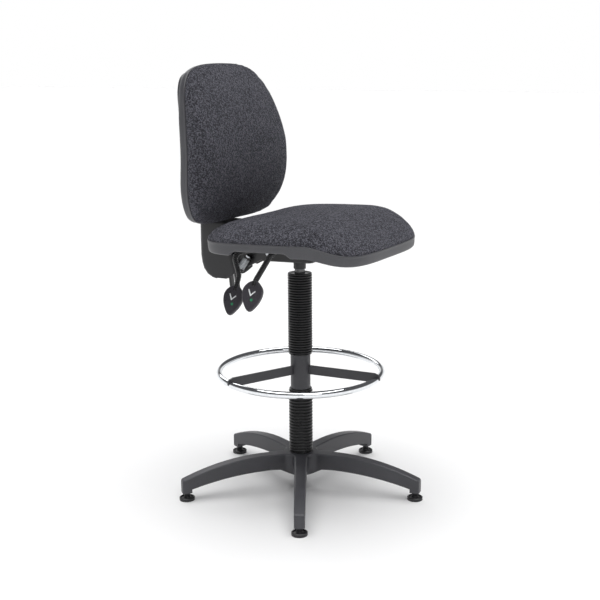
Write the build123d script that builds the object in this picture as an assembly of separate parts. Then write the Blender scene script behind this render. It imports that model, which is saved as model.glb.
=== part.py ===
from build123d import *
import os
from math import cos, hypot, pi, radians, sin, tan

# Drafting chair: five-legged base on glides, fixed footring, gas column in two bellows,
# tilting back on a slotted bar.  Units are millimetres.
# Frame: origin on the floor under the column axis, +Z up, the chair faces -Y,
# and the sitter's right hand (both levers) is on -X.

os.makedirs("parts", exist_ok=True)

# ---------------------------------------------------------------- driving dimensions
# Star base
LEG_COUNT = 5
LEG_FIRST_ANGLE = 65.0
GLIDE_CIRCLE_R = 328.8
LEG_TOE = 14.2
LEG_END_R = GLIDE_CIRCLE_R + LEG_TOE
LEG_FLAT_R = 115.0
LEG_ARCH_Z = 91.3
LEG_UNDER_FLAT_R = 95.0
LEG_UNDER_ARCH_Z = 52.3
LEG_TOP_Z = 105.5
LEG_TIP_TOP_Z = 60.5
LEG_END_BOTTOM_Z = 22.0
LEG_UNDER_TIP_Z = 31.0
LEG_UNDER_HUB_Z = 61.0
LEG_HALF_W_HUB = 18.0
LEG_HALF_W_TIP = 14.0
LEG_BOSS_LEN = 26.0
LEG_EDGE_R = 4.0
HUB_WEB_R = 20.0
HUB_BOTTOM_Z = 44.0

# Glide feet
GLIDE_PAD_R = 21.0
GLIDE_PAD_H = 6.0
GLIDE_NECK_R = 9.5
STEM_R = 5.0
STEM_BOTTOM_Z = 9.0
STEM_TOP_Z = 46.0

# Gas column
COLUMN_R = 25.0
HUB_WALL = 22.0
HUB_R = COLUMN_R + HUB_WALL
COLUMN_WALL = 2.5
COLUMN_TAPER_R = 1.4
COLUMN_BOTTOM_Z = 48.0
COLUMN_TOP_Z = 425.0
BUSH_LEN = 80.0
BUSH_COLLAR_H = 4.0
CYL_R = 14.0
CYL_WALL = 1.5
CYL_TOP_Z = 680.0
CYL_BOTTOM_Z = 345.0
GLAND_LEN = 15.0
ROD_R = 5.0
PISTON_LEN = 12.0
RELEASE_PIN_R = 3.0
RELEASE_PIN_STAND = 6.0
RUN_GAP = 0.05
BEARING_Z = COLUMN_BOTTOM_Z + 5
RACE_T = 2.5
BALL_R = 2.5
BALL_CIRCLE_R = 13.0
BALL_COUNT = 12
CLIP_T = 1.6

# Footring and its sleeve
SLEEVE_WALL = 2.5
SLEEVE_R = COLUMN_R + SLEEVE_WALL
SLEEVE_BOTTOM_Z = 290.0
SLEEVE_TOP_Z = 388.0
RING_R = 224.5
RING_TUBE_R = 9.5
RING_Z = 337.5
ARM_COUNT = 3
ARM_FIRST_ANGLE = 34.8
ARM_H = 25.0
ARM_T = 6.0
ARM_MID_Z = 344.0
ARM_TIP_R = RING_R + RING_TUBE_R + 1.0

# Bellows
LOWER_GAITER_R = COLUMN_R + 8.3
LOWER_GAITER_PITCH = 9.3
UPPER_GAITER_R = SLEEVE_R + 6.25
UPPER_GAITER_PITCH = 7.3
UPPER_GAITER_TOP_Z = 615.0
GAITER_WALL = 1.6
GAITER_RIB_DEPTH = 4.5

# Seat (heights are measured from the rim line of the pan)
SEAT_PITCH = 2.2
SEAT_RIM_Z = 730.5
SEAT_MID_Y = -40.6
SEAT_HALF_DEPTH = 232.0
SEAT_HALF_WIDTH = 250.0
SEAT_SQUARENESS = 4.0
WATERFALL_START_Y = -144.5
WATERFALL_DROP = 31.7
PAN_SKIRT = 33.0
PAN_ARCH_BACK_Y = 78.0
PAN_ARCH_FRONT_Y = -122.0
PAN_FLOOR_TOP = 19.0
PAN_WALL = 3.0
SEAT_BOARD_T = 12.0
SEAT_END_H = 30.0
SEAT_SIDE_H = 46.0
SEAT_CROWN_H = 62.0
PLATE_GAP = 0.2
CUSHION_GAP = 0.5

# Mechanism
MECH_FRONT_Y = -62.0
MECH_BACK_Y = 92.0
MECH_HALF_W = 50.0
MECH_BOTTOM_Z = 650.0
MECH_WALL = 3.0
TOP_PLATE_T = 3.0
TOP_PLATE_HALF_W = 95.0
TOP_PLATE_HALF_D = 110.0
MECH_TOP = -PAN_FLOOR_TOP - PAN_WALL - TOP_PLATE_T - PLATE_GAP
MECH_LOW = MECH_BOTTOM_Z - SEAT_RIM_Z
SEAT_BOLT_X = 75.0
SEAT_BOLT_Y = 90.0
SEAT_BOLT_R = 3.0
SOCKET_WALL = 3.0
SOCKET_R = CYL_R + SOCKET_WALL
SOCKET_BOTTOM_Z = 627.0

# Back tilt pivot
PIVOT_Y = 66.0
PIVOT_Z = 672.0
PIVOT_R = 6.0
BRACKET_T = 5.0
DISC_R = PIVOT_R + 9.0
DISC_T = 3.0

# Levers (both on the sitter's right)
LEVER_ROD_R = 4.0
LEVER_SLEEVE_R = 7.5
LEVER_FULCRUM_X = -42.0
LEVER_PIN_R = 2.0
HEIGHT_LEVER_Y = 0.0
TILT_LEVER_Y = 34.0
LEVER_GAP = 0.4
LEVER_Z = CYL_TOP_Z + RELEASE_PIN_STAND + LEVER_GAP + LEVER_ROD_R
LEVER_BEND_R = 20.0
PADDLE_LEN = 82.0
PADDLE_NECK = 16.0
PADDLE_HALF_W = 28.0
PADDLE_T = 12.0
PADDLE_FACING = Vector(-1, -0.25, 0.55)
HEIGHT_PATH = [
    (6.0, HEIGHT_LEVER_Y, LEVER_Z),
    (-100.0, HEIGHT_LEVER_Y, LEVER_Z),
    (-150.0, HEIGHT_LEVER_Y, LEVER_Z - 3.5),
    (-226.0, HEIGHT_LEVER_Y, LEVER_Z - 58),
    (-232.0, HEIGHT_LEVER_Y, LEVER_Z - 71),
]
TILT_PATH = [
    (-14.0, TILT_LEVER_Y, LEVER_Z),
    (-74.0, TILT_LEVER_Y, LEVER_Z + 2),
    (-140.0, TILT_LEVER_Y + 88, LEVER_Z - 9),
    (-157.0, TILT_LEVER_Y + 60, LEVER_Z - 64),
    (-174.0, TILT_LEVER_Y + 62, LEVER_Z - 103),
]
SLEEVE_START = 0.55

# Back bar and its guide
BAR_LEAN = 5.5
BAR_FOOT_Y = 209.0
BAR_FOOT_Z = 531.0
BAR_W = 40.0
BAR_T = 8.0
BAR_LEN = 350.0
BAR_SLOT_W = 13.0
BAR_SLOT_START = 16.0
BAR_SLOT_LEN = 150.0
GUIDE_AT = 128.0
GUIDE_LEN = 46.0
GUIDE_WALL = 4.0
GUIDE_GAP = 0.3
GUIDE_BOLT_R = 5.0
BRACKET_HALF_W = BAR_W / 2 + GUIDE_WALL + 2.0

# Return spring beside the bracket
TENSION_X = -BRACKET_HALF_W - 14.0
TENSION_Y = 154.0
TENSION_Z = 635.0
TENSION_TILT = 36.0
TENSION_BOLT_R = 3.9

# Boot (moulded cover round the guide)
BOOT_HALF_W = BRACKET_HALF_W + 14.0
BOOT_WALL = 3.0
BOOT_REAR_Y = 300.0
BOOT_FRONT_Y = 178.0
BOOT_BOTTOM_Z = 585.0
BOOT_TOP_Z = 742.0

# Backrest
BACK_TOP_Z = 1171.0
BACK_BOTTOM_Z = 752.0
BACK_HALF_W_LOW = 218.0
BACK_HALF_W_TOP = 178.0
BACK_CURVE_R = 926.0
LUMBAR_Z = 890.0
SEAM_Y = 206.5
SHELL_EDGE_DEPTH = 27.0
SHELL_MID_DEPTH = 47.0
SHELL_WALL = 3.0
BACK_BOARD_T = 10.0
BACK_BOARD_BEHIND = 3.0
BACK_BOARD_FOOT_Z = 785.0
BACK_END_T = 14.0
BACK_SIDE_T = 40.0
BACK_CROWN_T = 62.0
BACK_BOLT_ZS = (812.0, 852.0)

parts = {}


# ---------------------------------------------------------------- small helpers
def cyl(r, h, x=0.0, y=0.0, z=0.0):
    """Upright cylinder standing on height z."""
    return Pos(x, y, z + h / 2) * Cylinder(r, h)


def tube(r_out, r_in, h, x=0.0, y=0.0, z=0.0):
    """Upright tube standing on height z."""
    return cyl(r_out, h, x, y, z) - cyl(r_in, h, x, y, z)


def block(x0, x1, y0, y1, z0, z1):
    """Box between two corners."""
    middle = Pos((x0 + x1) / 2, (y0 + y1) / 2, (z0 + z1) / 2)
    return middle * Box(x1 - x0, y1 - y0, z1 - z0)


def x_cyl(r, x0, x1, y, z):
    """Cylinder lying along X."""
    return Pos((x0 + x1) / 2, y, z) * Rot(0, 90, 0) * Cylinder(r, x1 - x0)


def y_cyl(r, y0, y1, x, z):
    """Cylinder lying along Y."""
    return Pos(x, (y0 + y1) / 2, z) * Rot(90, 0, 0) * Cylinder(r, y1 - y0)


def turned(points):
    """Solid of revolution about Z from (radius, height) corners."""
    outline = Polyline([(r, 0, z) for r, z in points], close=True)
    return revolve(make_face(outline), Axis.Z)


def around(piece, count, first=0.0):
    """The same piece repeated round the Z axis."""
    return [Rot(0, 0, first + k * 360.0 / count) * piece for k in range(count)]


def side_slab(points, half_width):
    """Solid of constant width across X from a closed (y, z) outline."""
    face = make_face(Plane.YZ * Polyline(points, close=True))
    return extrude(face, half_width, both=True)


def seat_frame(piece):
    """Tip a piece drawn level with the seat to the seat's pitch."""
    hinge = Pos(0, 0, SEAT_RIM_Z)
    return hinge * Rot(-SEAT_PITCH, 0, 0) * piece


def bar_frame(piece):
    """Place a piece drawn along the bar: Z runs up the bar from its foot."""
    return Pos(0, BAR_FOOT_Y, BAR_FOOT_Z) * Rot(-BAR_LEAN, 0, 0) * piece


# ---------------------------------------------------------------- star base and glides
def star_base():
    """Moulded five-leg base: one plan outline cut by one turned profile."""
    plan = Sketch() + Circle(HUB_R)
    leg = Polygon(
        (0, -LEG_HALF_W_HUB),
        (LEG_END_R + 5, -LEG_HALF_W_TIP),
        (LEG_END_R + 5, LEG_HALF_W_TIP),
        (0, LEG_HALF_W_HUB),
        align=None,
    )
    for k in range(LEG_COUNT):
        plan += Rot(0, 0, LEG_FIRST_ANGLE + k * 360.0 / LEG_COUNT) * leg
    inner = plan.vertices().filter_by(lambda v: hypot(v.X, v.Y) < HUB_R + 2)
    plan = fillet(inner, HUB_WEB_R)
    prism = extrude(plan, LEG_TOP_Z + 10)

    boss_r = LEG_END_R - LEG_BOSS_LEN
    arch_r = (LEG_FLAT_R + LEG_END_R) * 0.515
    under_arch_r = (LEG_UNDER_FLAT_R + boss_r) * 0.522
    top = [
        Line((0, 0, LEG_TOP_Z), (LEG_FLAT_R, 0, LEG_TOP_Z)),
        ThreePointArc((LEG_FLAT_R, 0, LEG_TOP_Z), (arch_r, 0, LEG_ARCH_Z), (LEG_END_R - 8, 0, LEG_TIP_TOP_Z)),
        ThreePointArc(
            (LEG_END_R - 8, 0, LEG_TIP_TOP_Z),
            (LEG_END_R - 2, 0, LEG_TIP_TOP_Z - 3.5),
            (LEG_END_R, 0, LEG_TIP_TOP_Z - 9),
        ),
    ]
    end = Polyline(
        (LEG_END_R, 0, LEG_TIP_TOP_Z - 9),
        (LEG_END_R, 0, LEG_END_BOTTOM_Z),
        (boss_r, 0, LEG_END_BOTTOM_Z),
        (boss_r, 0, LEG_UNDER_TIP_Z),
    )
    under = [
        ThreePointArc(
            (boss_r, 0, LEG_UNDER_TIP_Z),
            (under_arch_r, 0, LEG_UNDER_ARCH_Z),
            (LEG_UNDER_FLAT_R, 0, LEG_UNDER_HUB_Z),
        ),
        Polyline(
            (LEG_UNDER_FLAT_R, 0, LEG_UNDER_HUB_Z),
            (HUB_R + 19, 0, LEG_UNDER_HUB_Z - 2),
            (HUB_R - 9, 0, HUB_BOTTOM_Z),
            (0, 0, HUB_BOTTOM_Z),
            (0, 0, LEG_TOP_Z),
        ),
    ]
    profile = make_face(Wire([e for part in top + [end] + under for e in part.edges()]))
    body = prism & revolve(profile, Axis.Z)
    upper = [e for e in body.edges() if min(v.Z for v in e.vertices()) > LEG_TIP_TOP_Z - 10]
    upper = [e for e in upper if hypot(e.center().X, e.center().Y) > 40]
    body = fillet(upper, LEG_EDGE_R)
    body -= column_envelope()
    for hole in around(cyl(STEM_R, STEM_TOP_Z, GLIDE_CIRCLE_R), LEG_COUNT, LEG_FIRST_ANGLE):
        body -= hole
    return body


def glide_pads():
    """Plastic foot discs, dished on top, with the neck that the leg stands on."""
    pad = turned([
        (STEM_R, STEM_BOTTOM_Z),
        (STEM_R, LEG_END_BOTTOM_Z),
        (GLIDE_NECK_R, LEG_END_BOTTOM_Z),
        (GLIDE_NECK_R - 1.5, 12.0),
        (GLIDE_NECK_R + 1.0, 7.5),
        (GLIDE_PAD_R - 5.0, GLIDE_PAD_H),
        (GLIDE_PAD_R - 2.5, GLIDE_PAD_H + 3.0),
        (GLIDE_PAD_R, GLIDE_PAD_H + 1.5),
        (GLIDE_PAD_R, 0),
        (0, 0),
        (0, STEM_BOTTOM_Z),
    ])
    return around(Pos(GLIDE_CIRCLE_R, 0, 0) * pad, LEG_COUNT, LEG_FIRST_ANGLE)


def glide_stems():
    """Steel studs pressed up into the leg ends."""
    stem = cyl(STEM_R, STEM_TOP_Z - STEM_BOTTOM_Z, GLIDE_CIRCLE_R, 0, STEM_BOTTOM_Z)
    return around(stem, LEG_COUNT, LEG_FIRST_ANGLE)


# ---------------------------------------------------------------- column
def column_envelope():
    """Outside of the column tube: a shallow taper in the hub, then straight."""
    return turned([
        (0, COLUMN_BOTTOM_Z - 10),
        (COLUMN_R - COLUMN_TAPER_R, COLUMN_BOTTOM_Z - 10),
        (COLUMN_R - COLUMN_TAPER_R, COLUMN_BOTTOM_Z),
        (COLUMN_R, LEG_TOP_Z),
        (COLUMN_R, COLUMN_TOP_Z),
        (0, COLUMN_TOP_Z),
    ])


def column_tube():
    """Steel outer tube with its pressed-in bottom plate."""
    bore_r = COLUMN_R - COLUMN_WALL
    body = column_envelope() - cyl(100, 10, 0, 0, COLUMN_BOTTOM_Z - 10)
    bore = turned([
        (0, COLUMN_BOTTOM_Z + 5),
        (bore_r - COLUMN_TAPER_R, COLUMN_BOTTOM_Z + 5),
        (bore_r, LEG_TOP_Z),
        (bore_r, COLUMN_TOP_Z),
        (0, COLUMN_TOP_Z),
    ])
    return body - bore - cyl(ROD_R + 1.5, 5, 0, 0, COLUMN_BOTTOM_Z)


def guide_bush():
    """Plastic bush in the tube's mouth that the cylinder slides and turns in."""
    bore_r = COLUMN_R - COLUMN_WALL
    body = cyl(bore_r, BUSH_LEN, 0, 0, COLUMN_TOP_Z - BUSH_LEN)
    body += cyl(COLUMN_R, BUSH_COLLAR_H, 0, 0, COLUMN_TOP_Z)
    return body - cyl(CYL_R + RUN_GAP, BUSH_LEN + BUSH_COLLAR_H, 0, 0, COLUMN_TOP_Z - BUSH_LEN)


def lower_race():
    """Hardened washer on the bottom plate that the balls run on."""
    return tube(BALL_CIRCLE_R + 4, ROD_R + 1.5, RACE_T, 0, 0, BEARING_Z)


def bearing_balls():
    """Thrust balls under the piston rod."""
    ball = Pos(BALL_CIRCLE_R, 0, BEARING_Z + RACE_T + BALL_R) * Sphere(BALL_R)
    return around(ball, BALL_COUNT)


def ball_cage():
    """Plastic ring that spaces the balls."""
    ring = tube(BALL_CIRCLE_R + 3.5, BALL_CIRCLE_R - 3.5, 2.0, 0, 0, BEARING_Z + RACE_T + BALL_R - 1)
    pocket = Pos(BALL_CIRCLE_R, 0, BEARING_Z + RACE_T + BALL_R) * Sphere(BALL_R + RUN_GAP)
    for hole in around(pocket, BALL_COUNT):
        ring -= hole
    return ring


def upper_race():
    """Turning washer that carries the rod's shoulder."""
    z = BEARING_Z + RACE_T + 2 * BALL_R + RUN_GAP
    return tube(BALL_CIRCLE_R + 4, ROD_R, RACE_T, 0, 0, z)


def rod_bumper():
    """Rubber ring on the rod that cushions the bottom of the stroke."""
    z = BEARING_Z + 2 * RACE_T + 2 * BALL_R + RUN_GAP
    return tube(13.0, ROD_R, 16.0, 0, 0, z)


def rod_clip():
    """Spring clip that holds the rod under the bottom plate."""
    return tube(9.0, ROD_R - 1, CLIP_T, 0, 0, COLUMN_BOTTOM_Z - CLIP_T - 0.2)


def piston_rod():
    """Ground rod from the clip to the piston, grooved for the clip."""
    foot = COLUMN_BOTTOM_Z - 5
    top = CYL_BOTTOM_Z + GLAND_LEN + 10
    body = cyl(ROD_R, top - foot, 0, 0, foot)
    return body - tube(ROD_R + 2, ROD_R - 1, CLIP_T, 0, 0, COLUMN_BOTTOM_Z - CLIP_T - 0.2)


def gas_piston():
    """Piston on the rod's upper end, inside the cylinder."""
    return cyl(CYL_R - CYL_WALL - RUN_GAP, PISTON_LEN, 0, 0, CYL_BOTTOM_Z + GLAND_LEN + 10)


def gas_cylinder():
    """Chromed pressure cylinder, closed at the top round the release pin."""
    body = cyl(CYL_R, CYL_TOP_Z - CYL_BOTTOM_Z, 0, 0, CYL_BOTTOM_Z)
    body -= cyl(CYL_R - CYL_WALL, CYL_TOP_Z - CYL_BOTTOM_Z - 24, 0, 0, CYL_BOTTOM_Z)
    return body - cyl(RELEASE_PIN_R + RUN_GAP, 30, 0, 0, CYL_TOP_Z - 26)


def cylinder_gland():
    """Seal and guide in the cylinder's mouth."""
    return tube(CYL_R - CYL_WALL, ROD_R + RUN_GAP, GLAND_LEN, 0, 0, CYL_BOTTOM_Z)


def release_pin():
    """Valve pin that the height lever presses down."""
    return cyl(RELEASE_PIN_R, 20 + RELEASE_PIN_STAND, 0, 0, CYL_TOP_Z - 20)


# ---------------------------------------------------------------- footring
def footring_sleeve():
    """Painted steel sleeve on the column, drilled for its set screws."""
    height = SLEEVE_TOP_Z - SLEEVE_BOTTOM_Z
    body = tube(SLEEVE_R, COLUMN_R, height, 0, 0, SLEEVE_BOTTOM_Z)
    for hole in set_screws():
        body -= hole
    return body


def set_screws():
    """Two grub screws at the back that clamp the sleeve to the column."""
    screws = []
    for z in (SLEEVE_BOTTOM_Z + 22, SLEEVE_TOP_Z - 14):
        screws.append(y_cyl(3.0, COLUMN_R, SLEEVE_R + 1.5, 0, z) - cyl(COLUMN_R, 500))
    return screws


def footring():
    """Chromed round-tube ring."""
    ring = Torus(RING_R, RING_TUBE_R) - Torus(RING_R, RING_TUBE_R - 1.5)
    return Pos(0, 0, RING_Z) * ring


def footring_arms():
    """Three flat bars on edge, saddle-cut over the ring tube and welded to the sleeve."""
    low = ARM_MID_Z - ARM_H / 2
    high = ARM_MID_Z + ARM_H / 2
    bar = Polyline(
        (20, 0, low),
        (RING_R, 0, low),
        (RING_R, 0, RING_Z),
        (ARM_TIP_R, 0, RING_Z),
        (ARM_TIP_R, 0, high - 9),
        (ARM_TIP_R - 5, 0, high - 4),
        (ARM_TIP_R - 16, 0, high),
        (20, 0, high),
        close=True,
    )
    arm = extrude(make_face(bar), ARM_T / 2, both=True)
    arm -= Pos(0, 0, RING_Z) * Torus(RING_R, RING_TUBE_R)
    arm -= cyl(SLEEVE_R, 500)
    solids = [s for s in arm.solids() if s.bounding_box().size.Z > ARM_H / 2]
    return around(Part(solids[0].wrapped), ARM_COUNT, ARM_FIRST_ANGLE)


# ---------------------------------------------------------------- bellows
def gaiter(outer_r, inner_r, z0, z1, pitch, foot_r):
    """Bellows: V-shaped ribs between plain end cuffs."""
    count = round((z1 - z0) / pitch)
    step = (z1 - z0) / count
    crest = []
    for k in range(count):
        z = z0 + k * step
        crest.append((outer_r - GAITER_RIB_DEPTH, z + 0.12 * step))
        crest.append((outer_r, z + 0.42 * step))
        crest.append((outer_r, z + 0.58 * step))
        crest.append((outer_r - GAITER_RIB_DEPTH, z + 0.88 * step))
    valley = [(max(r - GAITER_WALL, foot_r), z) for r, z in reversed(crest)]
    ends = [(foot_r, z0), (outer_r - GAITER_RIB_DEPTH, z0)]
    tops = [(outer_r - GAITER_RIB_DEPTH, z1), (foot_r, z1)]
    if inner_r < foot_r:
        tops = [(outer_r - GAITER_RIB_DEPTH, z1), (inner_r, z1), (inner_r, z1 - 2), (foot_r, z1 - 2)]
    return turned(ends + crest + tops + valley)


def lower_gaiter():
    """Rubber bellows between the hub and the footring sleeve."""
    z1 = SLEEVE_BOTTOM_Z
    return gaiter(LOWER_GAITER_R, COLUMN_R + 0.4, LEG_TOP_Z, z1, LOWER_GAITER_PITCH, COLUMN_R + 0.4)


def upper_gaiter():
    """Rubber bellows from the sleeve to just below the mechanism; it folds as the seat drops."""
    foot_r = COLUMN_R + BUSH_COLLAR_H / 2
    z0 = SLEEVE_TOP_Z
    return gaiter(UPPER_GAITER_R, CYL_R + 1, z0, UPPER_GAITER_TOP_Z, UPPER_GAITER_PITCH, foot_r)


# ---------------------------------------------------------------- seat
def superellipse(half_x, half_y, mid_y):
    """Rounded-square outline in plan."""
    points = []
    for k in range(32):
        a = 2 * pi * k / 32
        px = abs(cos(a)) ** (2 / SEAT_SQUARENESS)
        py = abs(sin(a)) ** (2 / SEAT_SQUARENESS)
        x = half_x * px * (1 if cos(a) >= 0 else -1)
        y = mid_y + half_y * py * (1 if sin(a) >= 0 else -1)
        points.append((x, y))
    return make_face(Spline(points, periodic=True))


def waterfall(y):
    """Drop of the seat's line towards the front edge."""
    end = SEAT_MID_Y - SEAT_HALF_DEPTH
    t = min(max((WATERFALL_START_Y - y) / (WATERFALL_START_Y - end), 0.0), 1.0)
    return -WATERFALL_DROP * t * t * (3 - 2 * t)


def seat_line(offset, crown=0.0):
    """Side-view line at a height from the rim, domed by crown in the middle."""
    reach = SEAT_HALF_DEPTH + 10
    ys = [SEAT_MID_Y + reach * (k / 8 - 1) for k in range(17)]
    line = []
    for y in ys:
        rise = crown * (1 - ((y - SEAT_MID_Y) / reach) ** 2)
        line.append((y, offset + rise + waterfall(y)))
    return line


def seat_band(low, high, crown=0.0):
    """Slab across the seat between two side-view lines."""
    lower = Spline([(0, y, z) for y, z in seat_line(low)])
    upper = Spline([(0, y, z) for y, z in seat_line(high, crown)])
    rear = Line(lower @ 1, upper @ 1)
    front = Line(upper @ 0, lower @ 0)
    face = make_face(Wire([lower.edge(), rear.edge(), upper.edge(), front.edge()]))
    return extrude(face, SEAT_HALF_WIDTH + 10, both=True, dir=(1, 0, 0))


def seat_prism(inset):
    """Upright prism on the seat's plan outline."""
    face = superellipse(SEAT_HALF_WIDTH - inset, SEAT_HALF_DEPTH - inset, SEAT_MID_Y)
    return extrude(Pos(0, 0, -100) * face, 250)


def seat_bolt_places():
    return [(x, y) for x in (-SEAT_BOLT_X, SEAT_BOLT_X) for y in (-SEAT_BOLT_Y, SEAT_BOLT_Y)]


def seat_pan():
    """Moulded under-pan: floor, skirt and arched side cut-outs for the levers."""
    skirt = (seat_prism(0) - seat_prism(PAN_WALL)) & seat_band(-PAN_SKIRT, 0)
    floor = seat_prism(PAN_WALL / 2) & seat_band(-PAN_FLOOR_TOP - PAN_WALL, -PAN_FLOOR_TOP)
    arch = side_slab([
        (PAN_ARCH_BACK_Y, -PAN_SKIRT - 5),
        (PAN_ARCH_BACK_Y - 20, -PAN_FLOOR_TOP - PAN_WALL),
        (PAN_ARCH_FRONT_Y + 26, -PAN_FLOOR_TOP - PAN_WALL),
        (PAN_ARCH_FRONT_Y, -PAN_SKIRT - 5),
    ], SEAT_HALF_WIDTH + 10)
    body = (skirt - arch) + floor
    for x, y in seat_bolt_places():
        body -= cyl(SEAT_BOLT_R, 60, x, y, -60)
    return seat_frame(body)


def seat_board():
    """Moulded plywood board that carries the foam, bored for the T-nuts."""
    body = seat_prism(PAN_WALL + 1) & seat_band(-PAN_FLOOR_TOP, -PAN_FLOOR_TOP + SEAT_BOARD_T)
    for x, y in seat_bolt_places():
        body -= cyl(SEAT_BOLT_R + 1.2, 60, x, y, -60)
        body -= cyl(9.0, 1.5, x, y, -PAN_FLOOR_TOP + SEAT_BOARD_T - 1.5)
    return seat_frame(body)


def seat_t_nuts():
    """Flanged nuts let into the top of the board."""
    top = -PAN_FLOOR_TOP + SEAT_BOARD_T
    nuts = []
    for x, y in seat_bolt_places():
        nut = tube(9.0, SEAT_BOLT_R, 1.0, x, y, top - 1.5)
        nut += tube(SEAT_BOLT_R + 1.2, SEAT_BOLT_R, 8.0, x, y, top - 9.5)
        nuts.append(seat_frame(nut))
    return nuts


def seat_screws():
    """Four screws up through the top plate and the pan into the T-nuts."""
    under = MECH_TOP
    screws = []
    for x, y in seat_bolt_places():
        length = -PAN_FLOOR_TOP + SEAT_BOARD_T - under - 1
        screw = cyl(SEAT_BOLT_R, length, x, y, under) + cyl(5.5, 4.0, x, y, under - 4)
        screws.append(seat_frame(screw))
    return screws


def seat_cushion():
    """Upholstered foam: sits in the pan, stands proud of the rim and is domed."""
    low = -PAN_FLOOR_TOP + SEAT_BOARD_T
    reach = SEAT_HALF_WIDTH + 10
    roof = make_face(
        Plane.XZ * (
            Polyline((-reach, SEAT_SIDE_H), (-reach, -80), (reach, -80), (reach, SEAT_SIDE_H))
            + ThreePointArc((reach, SEAT_SIDE_H), (0, SEAT_CROWN_H), (-reach, SEAT_SIDE_H))
        )
    )
    vault = extrude(roof, 400, both=True)
    upper = seat_prism(0) & seat_band(CUSHION_GAP, SEAT_END_H, SEAT_CROWN_H - SEAT_END_H)
    lower = seat_prism(PAN_WALL + CUSHION_GAP) & seat_band(low, SEAT_END_H / 2)
    return seat_frame((upper + lower) & vault)


# ---------------------------------------------------------------- mechanism
def lever_ys():
    return (HEIGHT_LEVER_Y, TILT_LEVER_Y)


def top_plate():
    """Pressed steel plate that the pan is screwed to."""
    body = block(
        -TOP_PLATE_HALF_W, TOP_PLATE_HALF_W, -TOP_PLATE_HALF_D, TOP_PLATE_HALF_D,
        MECH_TOP, MECH_TOP + TOP_PLATE_T,
    )
    body = fillet(body.edges().filter_by(Axis.Z), 18)
    for x, y in seat_bolt_places():
        body -= cyl(SEAT_BOLT_R, 20, x, y, MECH_TOP - 5)
    return seat_frame(body)


def mechanism_housing():
    """Pressed steel box, open at the top and at the back, with cut-outs for the levers."""
    w = MECH_HALF_W
    body = block(-w, w, MECH_FRONT_Y, MECH_BACK_Y, MECH_LOW, MECH_TOP)
    body = fillet(body.edges().filter_by(Axis.Z).group_by(Axis.Y)[0], 16)
    body = fillet(body.faces().sort_by(Axis.Z)[0].edges(), 5)
    inner = block(
        -w + MECH_WALL, w - MECH_WALL, MECH_FRONT_Y + MECH_WALL, MECH_BACK_Y + 20,
        MECH_LOW + MECH_WALL, MECH_TOP + 5,
    )
    body -= fillet(inner.edges().filter_by(Axis.Z).group_by(Axis.Y)[0], 16 - MECH_WALL)
    notch = BRACKET_HALF_W + 6
    body -= block(-notch, notch, PIVOT_Y + 4, MECH_BACK_Y + 5, MECH_LOW - 5, MECH_LOW + MECH_WALL + 1)
    body = seat_frame(body)
    body -= cyl(SOCKET_R, 60, 0, 0, SOCKET_BOTTOM_Z)
    body -= x_cyl(PIVOT_R, -w - 5, w + 5, PIVOT_Y, PIVOT_Z)
    for y in lever_ys():
        body -= block(-w - 5, -w + 10, y - 6, y + 6, LEVER_Z - 9, LEVER_Z + 9)
    return body


def taper_socket():
    """Steel socket welded through the housing floor that grips the cylinder's top."""
    return tube(SOCKET_R, CYL_R, CYL_TOP_Z - SOCKET_BOTTOM_Z, 0, 0, SOCKET_BOTTOM_Z)


def pivot_pin():
    """Pin that the back bracket tilts on, headed at both ends."""
    w = MECH_HALF_W
    body = x_cyl(PIVOT_R, -w - 4, w + 4, PIVOT_Y, PIVOT_Z)
    for x in (-w - 4, w):
        body += x_cyl(PIVOT_R + 3.5, x, x + 4, PIVOT_Y, PIVOT_Z)
    return body


def friction_stack(first, count):
    """Every second disc of the friction lock, on both sides of the bracket."""
    discs = []
    for side in (-1, 1):
        for k in range(count):
            x = side * (BRACKET_HALF_W + 0.3 + (first + 2 * k) * (DISC_T + 0.3))
            lo = min(x, x + side * DISC_T)
            disc = x_cyl(DISC_R, lo, lo + DISC_T, PIVOT_Y, PIVOT_Z)
            discs.append(disc - x_cyl(PIVOT_R + RUN_GAP, -60, 60, PIVOT_Y, PIVOT_Z))
    return discs


def fixed_discs():
    """Friction discs keyed to the housing."""
    return friction_stack(0, 2)


def moving_discs():
    """Friction discs that turn with the bracket."""
    return friction_stack(1, 2)


def pressure_springs():
    """Stacked disc springs that press the friction discs together."""
    springs = []
    start = BRACKET_HALF_W + 0.3 + 4 * (DISC_T + 0.3)
    end = MECH_HALF_W - MECH_WALL
    for lo, hi in ((-end, -start), (start, end)):
        ring = x_cyl(DISC_R - 3, lo, hi, PIVOT_Y, PIVOT_Z)
        springs.append(ring - x_cyl(PIVOT_R + RUN_GAP, -60, 60, PIVOT_Y, PIVOT_Z))
    return springs


def lever_brackets():
    """Two small clevises inside the wall that the levers rock in."""
    pieces = []
    for y in lever_ys():
        x0 = -MECH_HALF_W + MECH_WALL
        ear = block(x0, LEVER_FULCRUM_X + 5, y - 9, y + 9, LEVER_Z - 9, LEVER_Z + 9)
        ear -= block(x0 - 1, LEVER_FULCRUM_X + 9, y - 5, y + 5, LEVER_Z - 10, LEVER_Z + 10)
        ear -= y_cyl(LEVER_PIN_R, y - 12, y + 12, LEVER_FULCRUM_X, LEVER_Z)
        pieces.extend(Part(s.wrapped) for s in ear.solids())
    return pieces


def lever_pins():
    """Cross pins that the levers rock on."""
    return [y_cyl(LEVER_PIN_R, y - 9, y + 9, LEVER_FULCRUM_X, LEVER_Z) for y in lever_ys()]


# ---------------------------------------------------------------- levers
def rod_along(points, radius, start, stop):
    """Round bar swept along the filleted lever path between two fractions of its length."""
    path = FilletPolyline(*points, radius=LEVER_BEND_R)
    wire = path.wire() if start == 0 else path.wire().trim(start, stop)
    section = Plane(origin=wire @ 0, z_dir=wire % 0) * Circle(radius)
    return sweep(section, path=wire)


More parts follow.
